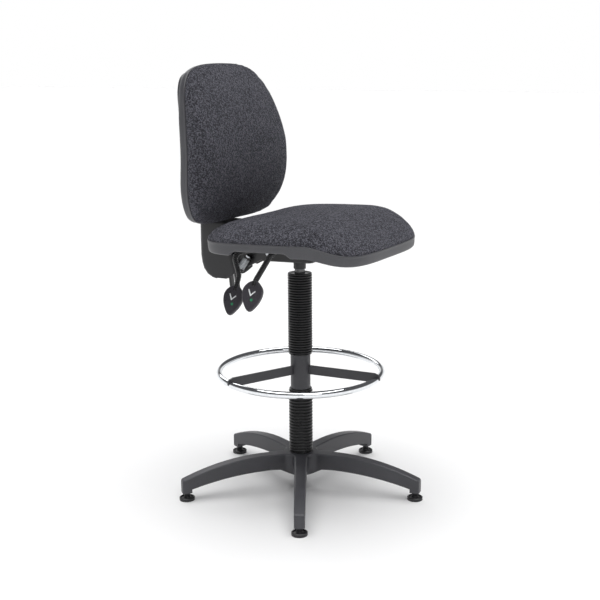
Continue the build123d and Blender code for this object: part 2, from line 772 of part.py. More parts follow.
def lever_rod(points, y):
    """Bent steel rod, drilled for its cross pin."""
    body = rod_along(points, LEVER_ROD_R, 0, 1)
    return body - y_cyl(LEVER_PIN_R + RUN_GAP, y - 12, y + 12, LEVER_FULCRUM_X, LEVER_Z)


def lever_sleeve(points):
    """Corrugated plastic sleeve over the bent part of the rod."""
    outer = rod_along(points, LEVER_SLEEVE_R, SLEEVE_START, 1.0)
    return outer - rod_along(points, LEVER_ROD_R, 0, 1)


def paddle(points, face_out):
    """Leaf-shaped finger paddle on the rod's end, facing the user's hand."""
    end = Vector(*points[-1])
    down = (end - Vector(*points[-2])).normalized()
    normal = (face_out - down * face_out.dot(down)).normalized()
    plane = Plane(origin=end, x_dir=down.cross(normal), z_dir=normal)
    sign = 1 if plane.y_dir.dot(down) > 0 else -1
    half = [(0.0, 0.0), (0.5, 0.08), (0.95, 0.3), (0.95, 0.5), (0.5, 0.85)]
    leaf = half + [(0.0, 1.0)] + [(-x, y) for x, y in reversed(half[1:])]
    outline = Spline(
        [(x * PADDLE_HALF_W, sign * (y * PADDLE_LEN - PADDLE_NECK)) for x, y in leaf], periodic=True)
    face = plane * make_face(outline)
    body = extrude(face, PADDLE_T / 2, both=True)
    body = fillet(body.edges(), 3.0)
    return body - rod_along(points, LEVER_SLEEVE_R, 0, 1)


# ---------------------------------------------------------------- back bracket and guide
def back_bracket():
    """Two side plates from the pivot to the bar's guide, joined by the guide's web."""
    outline = [
        (PIVOT_Y - 14, PIVOT_Z + 10),
        (PIVOT_Y + 10, PIVOT_Z + 14),
        (PIVOT_Y + 60, PIVOT_Z + 2),
        (200.0, 668.0),
        (200.0, 632.0),
        (150.0, 622.0),
        (PIVOT_Y + 20, PIVOT_Z - 16),
        (PIVOT_Y - 10, PIVOT_Z - 14),
    ]
    plates = []
    for x in (-BRACKET_HALF_W + BRACKET_T / 2, BRACKET_HALF_W - BRACKET_T / 2):
        plate = Pos(x, 0, 0) * side_slab(outline, BRACKET_T / 2)
        plates.append(plate - x_cyl(PIVOT_R + RUN_GAP, -60, 60, PIVOT_Y, PIVOT_Z))
    web = block(-BRACKET_HALF_W, BRACKET_HALF_W, 150, 196, 632, 637)
    body = plates[0] + plates[1] + web
    clear = bar_frame(block(-60, 60, -BAR_T / 2 - GUIDE_WALL, 60, 0, BAR_LEN))
    body -= clear
    return body


def guide_channel():
    """Guide that wraps the bar; the slotted bar slides up and down in it."""
    half_w = BAR_W / 2 + GUIDE_WALL
    half_t = BAR_T / 2 + GUIDE_WALL
    body = block(-half_w, half_w, -half_t, half_t, GUIDE_AT - GUIDE_LEN / 2, GUIDE_AT + GUIDE_LEN / 2)
    lug = BOOT_HALF_W - BOOT_WALL
    body += block(-lug, lug, -half_t, half_t, GUIDE_AT - 6, GUIDE_AT + 6)
    gap_w = BAR_W / 2 + GUIDE_GAP
    gap_t = BAR_T / 2 + GUIDE_GAP
    body -= block(-gap_w, gap_w, -gap_t, gap_t, 0, BAR_LEN)
    return bar_frame(body - y_cyl(GUIDE_BOLT_R, -40, 40, 0, GUIDE_AT))


def guide_bolt():
    """Shouldered bolt through the guide and the bar's slot, with its nut."""
    half_t = BAR_T / 2 + GUIDE_WALL
    body = y_cyl(GUIDE_BOLT_R, -half_t - 2, half_t + 10, 0, GUIDE_AT)
    body += y_cyl(9.0, -half_t - 5, -half_t, 0, GUIDE_AT)
    return bar_frame(body)


def guide_nut():
    """Hexagon nut behind the guide."""
    half_t = BAR_T / 2 + GUIDE_WALL
    hexagon = extrude(RegularPolygon(9.5, 6), 8)
    nut = Pos(0, half_t + 8, GUIDE_AT) * Rot(90, 0, 0) * hexagon
    return bar_frame(nut - y_cyl(GUIDE_BOLT_R, -60, 60, 0, GUIDE_AT))


def tension_frame(piece):
    """Place a piece drawn along the tension bolt's slanting axis."""
    return Pos(TENSION_X, TENSION_Y, TENSION_Z) * Rot(TENSION_TILT, 0, 0) * piece


def tension_axis(r, z0, z1):
    """Cylinder on the tension bolt's axis."""
    return tension_frame(cyl(r, z1 - z0, z=z0))


def tension_bolt():
    """Bolt that carries the return spring, held by the bracket's ear."""
    return tension_axis(TENSION_BOLT_R, -26, 22) + tension_axis(7.0, 22, 27)


def tension_spring():
    """Return spring, as the sleeve of space that its coils fill."""
    return tension_axis(10.5, -18, 18) - tension_axis(TENSION_BOLT_R + 0.4, -18, 18)


def tension_cap():
    """Black end cap under the spring."""
    return tension_axis(11.5, -24, -18) - tension_axis(TENSION_BOLT_R, -24, -18)


def tension_ear():
    """Ear welded to the bracket that the tension bolt runs through."""
    tab = block(0, -BRACKET_HALF_W - TENSION_X, -9, 9, 18, 22)
    ear = tension_axis(9.0, 18, 22) + tension_frame(tab)
    return ear - tension_axis(TENSION_BOLT_R, -60, 60)


# ---------------------------------------------------------------- back
def back_bar():
    """Flat steel bar with a long slot; the backrest is bolted to its upper end."""
    body = block(-BAR_W / 2, BAR_W / 2, -BAR_T / 2, BAR_T / 2, 0, BAR_LEN)
    body = fillet(body.edges().filter_by(Axis.Y), 6)
    slot_r = BAR_SLOT_W / 2
    z0 = BAR_SLOT_START + slot_r
    z1 = BAR_SLOT_START + BAR_SLOT_LEN - slot_r
    body -= block(-slot_r, slot_r, -20, 20, z0, z1)
    body -= y_cyl(slot_r, -20, 20, 0, z0)
    body -= y_cyl(slot_r, -20, 20, 0, z1)
    body = bar_frame(body)
    for z in BACK_BOLT_ZS:
        body -= y_cyl(3.0, 150, 350, 0, z)
    return body


def seam_y(z):
    """Side-view arc of the seam between the back's shell and its cushion."""
    return SEAM_Y + BACK_CURVE_R - (BACK_CURVE_R ** 2 - (z - LUMBAR_Z) ** 2) ** 0.5


def back_slab(front_edge, front_mid, rear_edge, rear_mid):
    """Curved slab: a plan section swept up the seam's arc.

    Distances are behind the seam, at the back's edges and at its middle.
    """
    half = BACK_HALF_W_LOW + 5
    sides = []
    for edge, mid in ((front_edge, front_mid), (rear_edge, rear_mid)):
        left = (-half, SEAM_Y + edge, LUMBAR_Z)
        right = (half, SEAM_Y + edge, LUMBAR_Z)
        if edge == mid:
            sides.append(Line(left, right))
        else:
            sides.append(ThreePointArc(left, (0, SEAM_Y + mid, LUMBAR_Z), right))
    ends = [Line(sides[0] @ k, sides[1] @ k) for k in (0, 1)]
    face = make_face(Wire([e for part in sides + ends for e in part.edges()]))
    axis = Axis((0, SEAM_Y + BACK_CURVE_R, LUMBAR_Z), (1, 0, 0))
    return revolve(face, axis, 12) + revolve(face, axis, -20)


def back_outline(inset):
    """Shield outline of the back: widest low down, narrower at the rounded top."""
    low = BACK_HALF_W_LOW - inset
    top = BACK_HALF_W_TOP - inset
    z0 = BACK_BOTTOM_Z + inset
    z1 = BACK_TOP_Z - inset
    half = [
        (0, z0),
        (low * 0.62, z0 + 3),
        (low * 0.87, z0 + 28),
        (low, z0 + 95),
        (low - 4, z0 + 190),
        ((low + top) / 2 + 4, z0 + 290),
        (top, z1 - 55),
        (top * 0.68, z1 - 11),
    ]
    other = [(0, z1)] + [(-x, z) for x, z in reversed(half[1:])]
    face = make_face(Plane.XZ * Spline(half + other, periodic=True))
    return extrude(face, 500, both=True)


def back_shell():
    """Moulded rear shell, hollow at the front, open at the foot for the bar."""
    outer = back_outline(0) & back_slab(0, 0, SHELL_EDGE_DEPTH, SHELL_MID_DEPTH)
    inner = back_outline(SHELL_WALL) & back_slab(
        -5, -5, SHELL_EDGE_DEPTH - SHELL_WALL, SHELL_MID_DEPTH - SHELL_WALL)
    mouth = bar_frame(block(-BAR_W / 2 - 3, BAR_W / 2 + 3, -BAR_T / 2 - 3, BAR_T / 2 + 3, 0, 260))
    return outer - inner - mouth


def back_board():
    """Moulded plywood that the foam is glued to and the bar is bolted to."""
    rear = BACK_BOARD_BEHIND + BACK_BOARD_T
    body = back_outline(SHELL_WALL + 0.5)
    body &= back_slab(BACK_BOARD_BEHIND, BACK_BOARD_BEHIND, rear, rear)
    body -= block(-300, 300, 0, 500, 0, BACK_BOARD_FOOT_Z)
    for z in BACK_BOLT_ZS:
        body -= y_cyl(3.0, 150, 350, 0, z)
    return body


def bar_spacers():
    """Blocks that fill the space between the bar and the board at each bolt."""
    blocks = []
    for z in BACK_BOLT_ZS:
        piece = block(-16, 16, 200, 260, z - 14, z + 14)
        rear = BACK_BOARD_BEHIND + BACK_BOARD_T
        piece -= back_slab(-100, -100, rear, rear)
        piece -= bar_frame(block(-60, 60, -BAR_T / 2, 60, 0, 500))
        blocks.append(piece - y_cyl(3.0, 150, 350, 0, z))
    return blocks


def back_screws():
    """Bolts from behind the bar into the board."""
    screws = []
    for z in BACK_BOLT_ZS:
        y_bar = BAR_FOOT_Y + (z - BAR_FOOT_Z) * tan(radians(BAR_LEAN)) + BAR_T / 2 + 0.6
        y_board = seam_y(z) + BACK_BOARD_BEHIND + 1
        screw = y_cyl(3.0, y_board, y_bar, 0, z) + y_cyl(5.5, y_bar, y_bar + 3.0, 0, z)
        screws.append(screw)
    return screws


def back_cushion():
    """Upholstered foam of the back, domed forwards and thinner towards its ends."""
    body = back_outline(0) & back_slab(-BACK_SIDE_T, -BACK_CROWN_T, -CUSHION_GAP, -CUSHION_GAP)
    front = []
    for k in range(9):
        t = k / 4 - 1
        z = (BACK_TOP_Z + BACK_BOTTOM_Z) / 2 + t * (BACK_TOP_Z - BACK_BOTTOM_Z) / 2
        thick = BACK_END_T + (BACK_CROWN_T - BACK_END_T) * (1 - t ** 2)
        front.append((0, seam_y(z) - thick, z))
    bow = Spline(front)
    rear = Polyline(bow @ 1, (0, 500, BACK_TOP_Z), (0, 500, BACK_BOTTOM_Z), bow @ 0)
    side = make_face(Wire([e for part in (bow, rear) for e in part.edges()]))
    body &= extrude(side, 300, both=True, dir=(1, 0, 0))
    plug = back_outline(SHELL_WALL + 1)
    plug &= back_slab(-BACK_END_T / 2, -BACK_END_T / 2, BACK_BOARD_BEHIND, BACK_BOARD_BEHIND)
    return body + plug


def boot():
    """Moulded boot round the guide, open at the front and the foot."""
    outline = Polyline(
        (BOOT_FRONT_Y, BOOT_BOTTOM_Z + 24),
        (BOOT_FRONT_Y + 28, BOOT_BOTTOM_Z + 2),
        (BOOT_FRONT_Y + 80, BOOT_BOTTOM_Z),
        (BOOT_REAR_Y - 9, BOOT_BOTTOM_Z + 18),
        (BOOT_REAR_Y, BOOT_BOTTOM_Z + 52),
        (BOOT_REAR_Y, BOOT_TOP_Z - 4),
        (BOOT_REAR_Y - 6, BOOT_TOP_Z),
        (BOOT_FRONT_Y + 30, BOOT_TOP_Z),
        (BOOT_FRONT_Y + 14, BOOT_BOTTOM_Z + 76),
        close=True,
    )
    face = make_face(Plane.YZ * outline)
    body = extrude(face, BOOT_HALF_W, both=True)
    rear = body.edges().filter_by(Axis.Z).group_by(Axis.Y)[-1]
    body = fillet(rear, 14)
    inner = extrude(face, BOOT_HALF_W - BOOT_WALL, both=True)
    hollow = Pos(0, -BOOT_WALL, 0) * inner - block(-100, 100, 0, 400, BOOT_TOP_Z - BOOT_WALL, 800)
    hollow += block(
        -BOOT_HALF_W + BOOT_WALL, BOOT_HALF_W - BOOT_WALL, BOOT_FRONT_Y - 10, BOOT_FRONT_Y + 60,
        BOOT_BOTTOM_Z - 10, BOOT_TOP_Z - BOOT_WALL,
    )
    body -= hollow
    mouth = block(-BAR_W / 2 - 2, BAR_W / 2 + 2, -BAR_T / 2 - 2, BAR_T / 2 + 2, 0, BAR_LEN)
    return body - bar_frame(mouth)


# ---------------------------------------------------------------- export
def build_all():
    parts["star_base"] = star_base()
    parts["glide_pads"] = glide_pads()
    parts["glide_stems"] = glide_stems()
    parts["column_tube"] = column_tube()
    parts["guide_bush"] = guide_bush()
    parts["lower_race"] = lower_race()
    parts["bearing_balls"] = bearing_balls()
    parts["ball_cage"] = ball_cage()
    parts["upper_race"] = upper_race()
    parts["rod_bumper"] = rod_bumper()
    parts["rod_clip"] = rod_clip()
    parts["piston_rod"] = piston_rod()
    parts["gas_piston"] = gas_piston()
    parts["gas_cylinder"] = gas_cylinder()
    parts["cylinder_gland"] = cylinder_gland()
    parts["release_pin"] = release_pin()
    parts["footring_sleeve"] = footring_sleeve()
    parts["sleeve_set_screws"] = set_screws()
    parts["footring"] = footring()
    parts["footring_arms"] = footring_arms()
    parts["lower_gaiter"] = lower_gaiter()
    parts["upper_gaiter"] = upper_gaiter()
    parts["seat_pan"] = seat_pan()
    parts["seat_board"] = seat_board()
    parts["seat_t_nuts"] = seat_t_nuts()
    parts["seat_screws"] = seat_screws()
    parts["seat_cushion"] = seat_cushion()
    parts["top_plate"] = top_plate()
    parts["mechanism_housing"] = mechanism_housing()
    parts["taper_socket"] = taper_socket()
    parts["pivot_pin"] = pivot_pin()
    parts["fixed_discs"] = fixed_discs()
    parts["moving_discs"] = moving_discs()
    parts["pressure_springs"] = pressure_springs()
    parts["lever_brackets"] = lever_brackets()
    parts["lever_pins"] = lever_pins()
    parts["height_lever_rod"] = lever_rod(HEIGHT_PATH, HEIGHT_LEVER_Y)
    parts["height_lever_sleeve"] = lever_sleeve(HEIGHT_PATH)
    parts["height_lever_paddle"] = paddle(HEIGHT_PATH, PADDLE_FACING)
    parts["tilt_lever_rod"] = lever_rod(TILT_PATH, TILT_LEVER_Y)
    parts["tilt_lever_sleeve"] = lever_sleeve(TILT_PATH)
    parts["tilt_lever_paddle"] = paddle(TILT_PATH, PADDLE_FACING)
    parts["back_bracket"] = back_bracket()
    parts["guide_channel"] = guide_channel()
    parts["guide_bolt"] = guide_bolt()
    parts["guide_nut"] = guide_nut()
    parts["tension_bolt"] = tension_bolt()
    parts["tension_spring"] = tension_spring()
    parts["tension_cap"] = tension_cap()
    parts["tension_ear"] = tension_ear()
    parts["back_bar"] = back_bar()
    parts["back_shell"] = back_shell()
    parts["back_board"] = back_board()
    parts["bar_spacers"] = bar_spacers()
    parts["back_screws"] = back_screws()
    parts["back_cushion"] = back_cushion()
    parts["boot"] = boot()


build_all()
for name, piece in parts.items():
    shape = Compound(children=piece) if isinstance(piece, list) else piece
    export_step(shape, f"parts/{name}.step")
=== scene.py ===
import bmesh
import bpy
from math import cos, pi, radians, sin
from mathutils import Matrix, Vector


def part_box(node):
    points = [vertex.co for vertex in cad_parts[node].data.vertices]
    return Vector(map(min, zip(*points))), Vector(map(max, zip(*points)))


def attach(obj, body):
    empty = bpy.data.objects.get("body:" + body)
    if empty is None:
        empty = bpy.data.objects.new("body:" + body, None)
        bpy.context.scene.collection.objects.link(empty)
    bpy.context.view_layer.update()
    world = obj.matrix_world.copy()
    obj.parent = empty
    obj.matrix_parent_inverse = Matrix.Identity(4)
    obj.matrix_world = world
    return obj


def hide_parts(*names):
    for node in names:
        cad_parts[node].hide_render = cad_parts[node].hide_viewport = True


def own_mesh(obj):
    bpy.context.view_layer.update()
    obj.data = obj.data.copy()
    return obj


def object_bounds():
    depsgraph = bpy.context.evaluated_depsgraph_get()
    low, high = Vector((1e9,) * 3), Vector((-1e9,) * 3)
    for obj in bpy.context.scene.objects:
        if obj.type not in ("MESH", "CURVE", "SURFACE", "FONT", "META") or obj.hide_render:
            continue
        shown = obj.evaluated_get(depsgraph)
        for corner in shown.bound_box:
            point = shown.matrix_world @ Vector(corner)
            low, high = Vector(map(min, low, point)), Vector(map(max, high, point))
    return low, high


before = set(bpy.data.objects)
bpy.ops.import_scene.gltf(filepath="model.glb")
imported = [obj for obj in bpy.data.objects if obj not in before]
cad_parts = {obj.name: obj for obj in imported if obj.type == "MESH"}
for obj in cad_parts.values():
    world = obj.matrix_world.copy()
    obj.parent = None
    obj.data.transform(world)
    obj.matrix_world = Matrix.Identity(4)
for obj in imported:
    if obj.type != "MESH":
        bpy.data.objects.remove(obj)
cad_low, cad_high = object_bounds()


# ------------------------------------------------------------------ studio
# A pale floor under wide overhead light, with soft lamps on the camera's side and behind. The
# sky is white near the horizon and grey above. The camera stands before the sitter's right.
def srgb(code):
    """Linear colour of an sRGB hex code."""
    parts = [int(code[k:k + 2], 16) / 255 for k in (1, 3, 5)]
    return [c / 12.92 if c <= 0.04045 else ((c + 0.055) / 1.055) ** 2.4 for c in parts] + [1.0]


def add(tree, kind, inputs=None, **settings):
    """Add a node: settings are its properties, and inputs are values or links for its sockets."""
    node = tree.nodes.new(kind)
    for name, value in settings.items():
        setattr(node, name, value)
    for name, value in (inputs or {}).items():
        if isinstance(value, bpy.types.NodeSocket):
            tree.links.new(value, node.inputs[name])
        else:
            node.inputs[name].default_value = value
    return node


def soft_lamp(name, power, size, place, target):
    """Square area lamp turned towards a point."""
    lamp = bpy.data.lights.new(name, "AREA")
    lamp.energy = power
    lamp.size = size
    holder = bpy.data.objects.new(name, lamp)
    bpy.context.scene.collection.objects.link(holder)
    holder.location = place
    holder.rotation_euler = (Vector(target) - Vector(place)).to_track_quat("-Z", "Y").to_euler()


CAMERA_PLACE = Vector((-2.5305, -1.461, 1.197))
CAMERA_HEADING = radians(30.0)
CAMERA_PITCH = radians(12.7)
CAMERA_ROLL = radians(-0.44)
FLOOR_HALF = 30.0

ahead = Vector((cos(CAMERA_HEADING), sin(CAMERA_HEADING), 0))
level = Vector((ahead.y, -ahead.x, 0))
look = ahead * cos(CAMERA_PITCH) - Vector((0, 0, sin(CAMERA_PITCH)))
upright = level.cross(look)
right = level * cos(CAMERA_ROLL) + upright * sin(CAMERA_ROLL)
over = right.cross(look)
camera = bpy.data.objects.new("camera", bpy.data.cameras.new("camera"))
bpy.context.scene.collection.objects.link(camera)
camera.data.lens = 65.8
camera.matrix_world = Matrix.Translation(CAMERA_PLACE) @ Matrix((right, over, -look)).transposed().to_4x4()
bpy.context.scene.camera = camera
bpy.context.scene.view_settings.view_transform = "Standard"

chair_middle = (cad_low + cad_high) / 2
soft_lamp("key_lamp", 18, 1.6, (-2.4, -2.6, 2.9), chair_middle)
soft_lamp("rim_lamp", 14, 1.4, (2.0, 2.4, 2.2), chair_middle)
ceiling = bpy.data.objects.new("ceiling_light", bpy.data.lights.new("ceiling_light", "SUN"))
ceiling.data.energy = 3.4
ceiling.data.angle = radians(60)
bpy.context.scene.collection.objects.link(ceiling)

world = bpy.data.worlds.new("studio_sky")
world.use_nodes = True
world.node_tree.nodes.clear()
direction = add(world.node_tree, "ShaderNodeTexCoord").outputs["Generated"]
upward = add(world.node_tree, "ShaderNodeSeparateXYZ", {"Vector": direction}).outputs["Z"]
dusk = add(world.node_tree, "ShaderNodeValToRGB", {"Fac": upward})
dusk.color_ramp.elements[0].position = 0.14
dusk.color_ramp.elements[0].color = srgb("#FFFFFF")
dusk.color_ramp.elements[1].position = 0.3
dusk.color_ramp.elements[1].color = srgb("#58585A")
sky = add(world.node_tree, "ShaderNodeBackground", {"Color": dusk.outputs["Color"], "Strength": 1.0})
add(world.node_tree, "ShaderNodeOutputWorld", {"Surface": sky.outputs[0]})
bpy.context.scene.world = world

floor_mesh = bpy.data.meshes.new("studio_floor")
corners = [(x * FLOOR_HALF, y * FLOOR_HALF, cad_low.z) for x, y in ((-1, -1), (1, -1), (1, 1), (-1, 1))]
floor_mesh.from_pydata(corners, [], [(0, 1, 2, 3)])
floor = bpy.data.objects.new("studio_floor", floor_mesh)
bpy.context.scene.collection.objects.link(floor)
floor_paint = bpy.data.materials.new("matt_white_floor_paint")
floor_paint.use_nodes = True
floor_paint.node_tree.nodes["Principled BSDF"].inputs["Base Color"].default_value = srgb("#EDEDED")
floor_paint.node_tree.nodes["Principled BSDF"].inputs["Roughness"].default_value = 0.9
floor_mesh.materials.append(floor_paint)


# ------------------------------------------------------------------ star base
# One glass-filled nylon moulding: five tapering legs round a hub that grips the column's taper.
# The mould was spark-eroded, so the skin is an even satin with a fine grain.
def finish(name, pale, deep, grain, bump, rough, **shader):
    """Material whose grain mixes two shades, varies the gloss and lifts the surface.

    grain is the pattern's size and bump its height, in millimetres; rough is (low, high).
    """
    material = bpy.data.materials.new(name)
    material.use_nodes = True
    tree = material.node_tree
    tree.nodes.clear()
    place = add(tree, "ShaderNodeTexCoord").outputs["Object"]
    fine = add(tree, "ShaderNodeTexNoise", {"Vector": place, "Scale": 1000 / grain, "Detail": 3.0})
    broad = add(tree, "ShaderNodeTexNoise", {"Vector": place, "Scale": 14.0, "Detail": 2.0})
    blend = add(tree, "ShaderNodeMix", {"Factor": 0.45, 2: fine.outputs[0], 3: broad.outputs[0]})
    tones = add(tree, "ShaderNodeValToRGB", {"Fac": blend.outputs[0]})
    tones.color_ramp.elements[0].position = 0.346
    tones.color_ramp.elements[0].color = srgb(deep)
    tones.color_ramp.elements[1].position = 0.64
    tones.color_ramp.elements[1].color = srgb(pale)
    gloss = add(tree, "ShaderNodeMapRange", {
        "Value": blend.outputs[0], "From Min": 0.35, "From Max": 0.65,
        "To Min": rough[0], "To Max": rough[1],
    })
    lift = add(tree, "ShaderNodeBump", {
        "Height": fine.outputs[0], "Strength": 0.6, "Distance": bump / 1000,
    })
    skin = add(tree, "ShaderNodeBsdfPrincipled", {
        "Base Color": tones.outputs["Color"], "Roughness": gloss.outputs[0],
        "Normal": lift.outputs[0], **shader,
    })
    add(tree, "ShaderNodeOutputMaterial", {"Surface": skin.outputs[0]})
    return material


def dress(material, *nodes):
    """Give CAD nodes a material."""
    for node in nodes:
        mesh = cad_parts[node].data
        mesh.materials.clear()
        mesh.materials.append(material)


# Moulded glass-filled nylon: charcoal, satin, a little uneven in gloss where the mould has worn.
base_nylon = finish("moulded_charcoal_nylon", "#434348", "#36363A", 1.6, 0.08, (0.36, 0.52), IOR=1.53)
dress(base_nylon, "star_base")


# ------------------------------------------------------------------ glide feet
# A fixed glide under each leg's end: a moulded black disc with a dished rim and a short neck,
# on a zinc-plated stud that is pressed up into the leg.
# Moulded acetal: near black and slightly waxy.
glide_acetal = finish("moulded_black_acetal", "#232326", "#161618", 1.2, 0.04, (0.3, 0.42), IOR=1.48)
# Bright zinc plate: a pale metal with a faint cloudy haze.
zinc_plate = finish("bright_zinc_plate", "#D6D9DC", "#B4B9BE", 2.5, 0.01, (0.22, 0.38), Metallic=1.0)
dress(glide_acetal, "glide_pads")
dress(zinc_plate, "glide_stems")


# ------------------------------------------------------------------ column and lower bellows
# The steel column tube stands in the hub and is hidden by two rubber bellows. The lower one
# reaches from the hub to the footring's sleeve: rolled ribs with rounded crests and tight valleys.
def geometry_group(name, **inputs):
    """Geometry Nodes group with named inputs of the given kinds and one geometry output."""
    tree = bpy.data.node_groups.new(name, "GeometryNodeTree")
    for label, kind in inputs.items():
        label = label.replace("_", " ")
        tree.interface.new_socket(label, in_out="INPUT", socket_type="NodeSocket" + kind)
    tree.interface.new_socket("Geometry", in_out="OUTPUT", socket_type="NodeSocketGeometry")
    return tree


def corrugated_tree():
    """Geometry Nodes: a tube round the host's line whose radius rises and falls at each rib."""
    tree = geometry_group(
        "corrugated_tube", Line="Geometry", Ribs="Int", Rings_per_rib="Int", Sides="Int",
        Crest_radius="Float", Rib_depth="Float", Material="Material",
    )
    given = add(tree, "NodeGroupInput").outputs
    line = add(tree, "GeometryNodeMeshToCurve", {"Mesh": given["Line"]}).outputs[0]
    rings = add(tree, "ShaderNodeMath", {0: given["Ribs"], 1: given["Rings per rib"]}, operation="MULTIPLY")
    count = add(tree, "ShaderNodeMath", {0: rings.outputs[0], 1: 1.0}, operation="ADD")
    even = add(tree, "GeometryNodeResampleCurve", {"Curve": line, "Count": count.outputs[0]})
    along = add(tree, "GeometryNodeSplineParameter").outputs["Factor"]
    half_waves = add(tree, "ShaderNodeMath", {0: along, 1: given["Ribs"]}, operation="MULTIPLY")
    angle = add(tree, "ShaderNodeMath", {0: half_waves.outputs[0], 1: pi}, operation="MULTIPLY")
    wave = add(tree, "ShaderNodeMath", {0: angle.outputs[0]}, operation="SINE")
    crest = add(tree, "ShaderNodeMath", {0: wave.outputs[0]}, operation="ABSOLUTE")
    rounded = add(tree, "ShaderNodeMath", {0: crest.outputs[0], 1: 0.7}, operation="POWER")
    inward = add(tree, "ShaderNodeMath", {0: 1.0, 1: rounded.outputs[0]}, operation="SUBTRACT")
    dip = add(tree, "ShaderNodeMath", {0: inward.outputs[0], 1: given["Rib depth"]}, operation="MULTIPLY")
    radius = add(tree, "ShaderNodeMath", {0: given["Crest radius"], 1: dip.outputs[0]}, operation="SUBTRACT")
    ring = add(tree, "GeometryNodeCurvePrimitiveCircle", {"Resolution": given["Sides"], "Radius": 1.0})
    tube = add(tree, "GeometryNodeCurveToMesh", {
        "Curve": even.outputs[0], "Profile Curve": ring.outputs[0], "Scale": radius.outputs[0],
    })
    real = add(tree, "GeometryNodeRealizeInstances", {"Geometry": tube.outputs[0]})
    coloured = add(tree, "GeometryNodeSetMaterial", {
        "Geometry": real.outputs[0], "Material": given["Material"],
    })
    add(tree, "NodeGroupOutput", {"Geometry": coloured.outputs[0]})
    return tree


def piece(name, verts, faces, material=None, edges=()):
    """New mesh object, smooth, in the frame of the chair."""
    mesh = bpy.data.meshes.new(name)
    mesh.from_pydata([tuple(v) for v in verts], edges, faces)
    if material:
        mesh.materials.append(material)
    mesh.shade_smooth()
    made = bpy.data.objects.new(name, mesh)
    bpy.context.scene.collection.objects.link(made)
    return made


def settle(made):
    """Keep what the modifiers make as the object's plain mesh."""
    bpy.context.view_layer.update()
    ready = made.evaluated_get(bpy.context.evaluated_depsgraph_get())
    mesh = bpy.data.meshes.new_from_object(ready)
    made.modifiers.clear()
    made.data = mesh
    return made


def outward(made):
    """Turn every face of a closed piece outward."""
    work = bmesh.new()
    work.from_mesh(made.data)
    bmesh.ops.recalc_face_normals(work, faces=work.faces)
    work.to_mesh(made.data)
    work.free()
    made.data.shade_smooth()
    return made


def grow(host, tree, values):
    """Run a Geometry Nodes tree on a host and keep the result as a plain mesh."""
    modifier = host.modifiers.new(tree.name, "NODES")
    modifier.node_group = tree
    for socket in tree.interface.items_tree:
        if socket.item_type == "SOCKET" and socket.name in values:
            modifier[socket.identifier] = values[socket.name]
    return settle(host)


def line_through(name, points):
    """Host mesh of edges through points."""
    return piece(name, points, [], edges=[(k, k + 1) for k in range(len(points) - 1)])


def thicken(made, wall):
    """Give a skin a wall on its inner side."""
    solid = made.modifiers.new("wall", "SOLIDIFY")
    solid.thickness = wall
    solid.offset = -1.0
    return settle(made)


def turned_ring(name, outline, material, sides=96):
    """Closed ring turned about the column's axis from a closed (radius, height) outline."""
    verts = []
    for k in range(sides):
        a = 2 * pi * k / sides
        verts.extend((r * cos(a), r * sin(a), z) for r, z in outline)
    size = len(outline)
    faces = []
    for k in range(sides):
        here = k * size
        there = (k + 1) % sides * size
        for i in range(size):
            j = (i + 1) % size
            faces.append((here + i, there + i, there + j, here + j))
    return outward(piece(name, verts, faces, material))


def join(first, *others):
    """Weld others' meshes into the first object."""
    work = bmesh.new()
    for made in (first, *others):
        work.from_mesh(made.data)
    work.to_mesh(first.data)
    work.free()
    for made in others:
        bpy.data.objects.remove(made)
    return first


def cuff(name, radius, bore, bottom, top, material):
    """Plain end band of a bellows with softened edges."""
    soft = min(0.001, (top - bottom) / 4)
    return turned_ring(name, [
        (bore, bottom), (radius - soft, bottom), (radius, bottom + soft),
        (radius, top - soft), (radius - soft, top), (bore, top),
    ], material)


def bellows(name, node, ribs, depth):
    """Rubber bellows as long and as wide as its CAD solid."""
    low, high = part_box(node)
    host = line_through(name, [(0, 0, low.z + CUFF_H), (0, 0, high.z - CUFF_H)])
    grow(host, CORRUGATED, {
        "Ribs": ribs, "Rings per rib": 10, "Sides": 72, "Crest radius": high.x,
        "Rib depth": depth, "Material": bellows_rubber,
    })
    return thicken(outward(host), RUBBER_WALL)


CORRUGATED = corrugated_tree()
CUFF_H = 0.0035
RUBBER_WALL = 0.0012
RIB_DEPTH = 0.0042
# Carbon-black rubber: deep black with a soft sheen on the crests and a trace of bloom.
bellows_rubber = finish("carbon_black_rubber", "#131315", "#09090A", 3.0, 0.05, (0.24, 0.38), IOR=1.52)
# Phosphated and painted steel: a dark satin with light orange peel.
dark_steel = finish("dark_phosphated_steel", "#323235", "#262629", 2.2, 0.03, (0.4, 0.55), IOR=1.5)

column_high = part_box("column_tube")[1]
lower_low, lower_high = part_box("lower_gaiter")
lower_gaiter = bellows("lower_bellows", "lower_gaiter", 20, RIB_DEPTH)
tube_r = column_high.x + 0.0003
join(
    lower_gaiter,
    cuff("foot", lower_high.x - 0.001, tube_r, lower_low.z, lower_low.z + CUFF_H, bellows_rubber),
    cuff("head", lower_high.x - 0.002, tube_r, lower_high.z - CUFF_H, lower_high.z, bellows_rubber),
)
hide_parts("lower_gaiter")
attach(lower_gaiter, "base")
dress(dark_steel, "column_tube")


# ------------------------------------------------------------------ footring, its arms and sleeve
# A chromed round-tube ring sits on three flat bars, welded on edge to a sleeve that two grub
# screws clamp to the column. Bars and sleeve are powder-coated charcoal after welding.
# Powder coat: charcoal, satin, with a visible orange peel.
powder_coat = finish("charcoal_powder_coat", "#3B3B3F", "#313135", 2.4, 0.06, (0.36, 0.5), IOR=1.5)
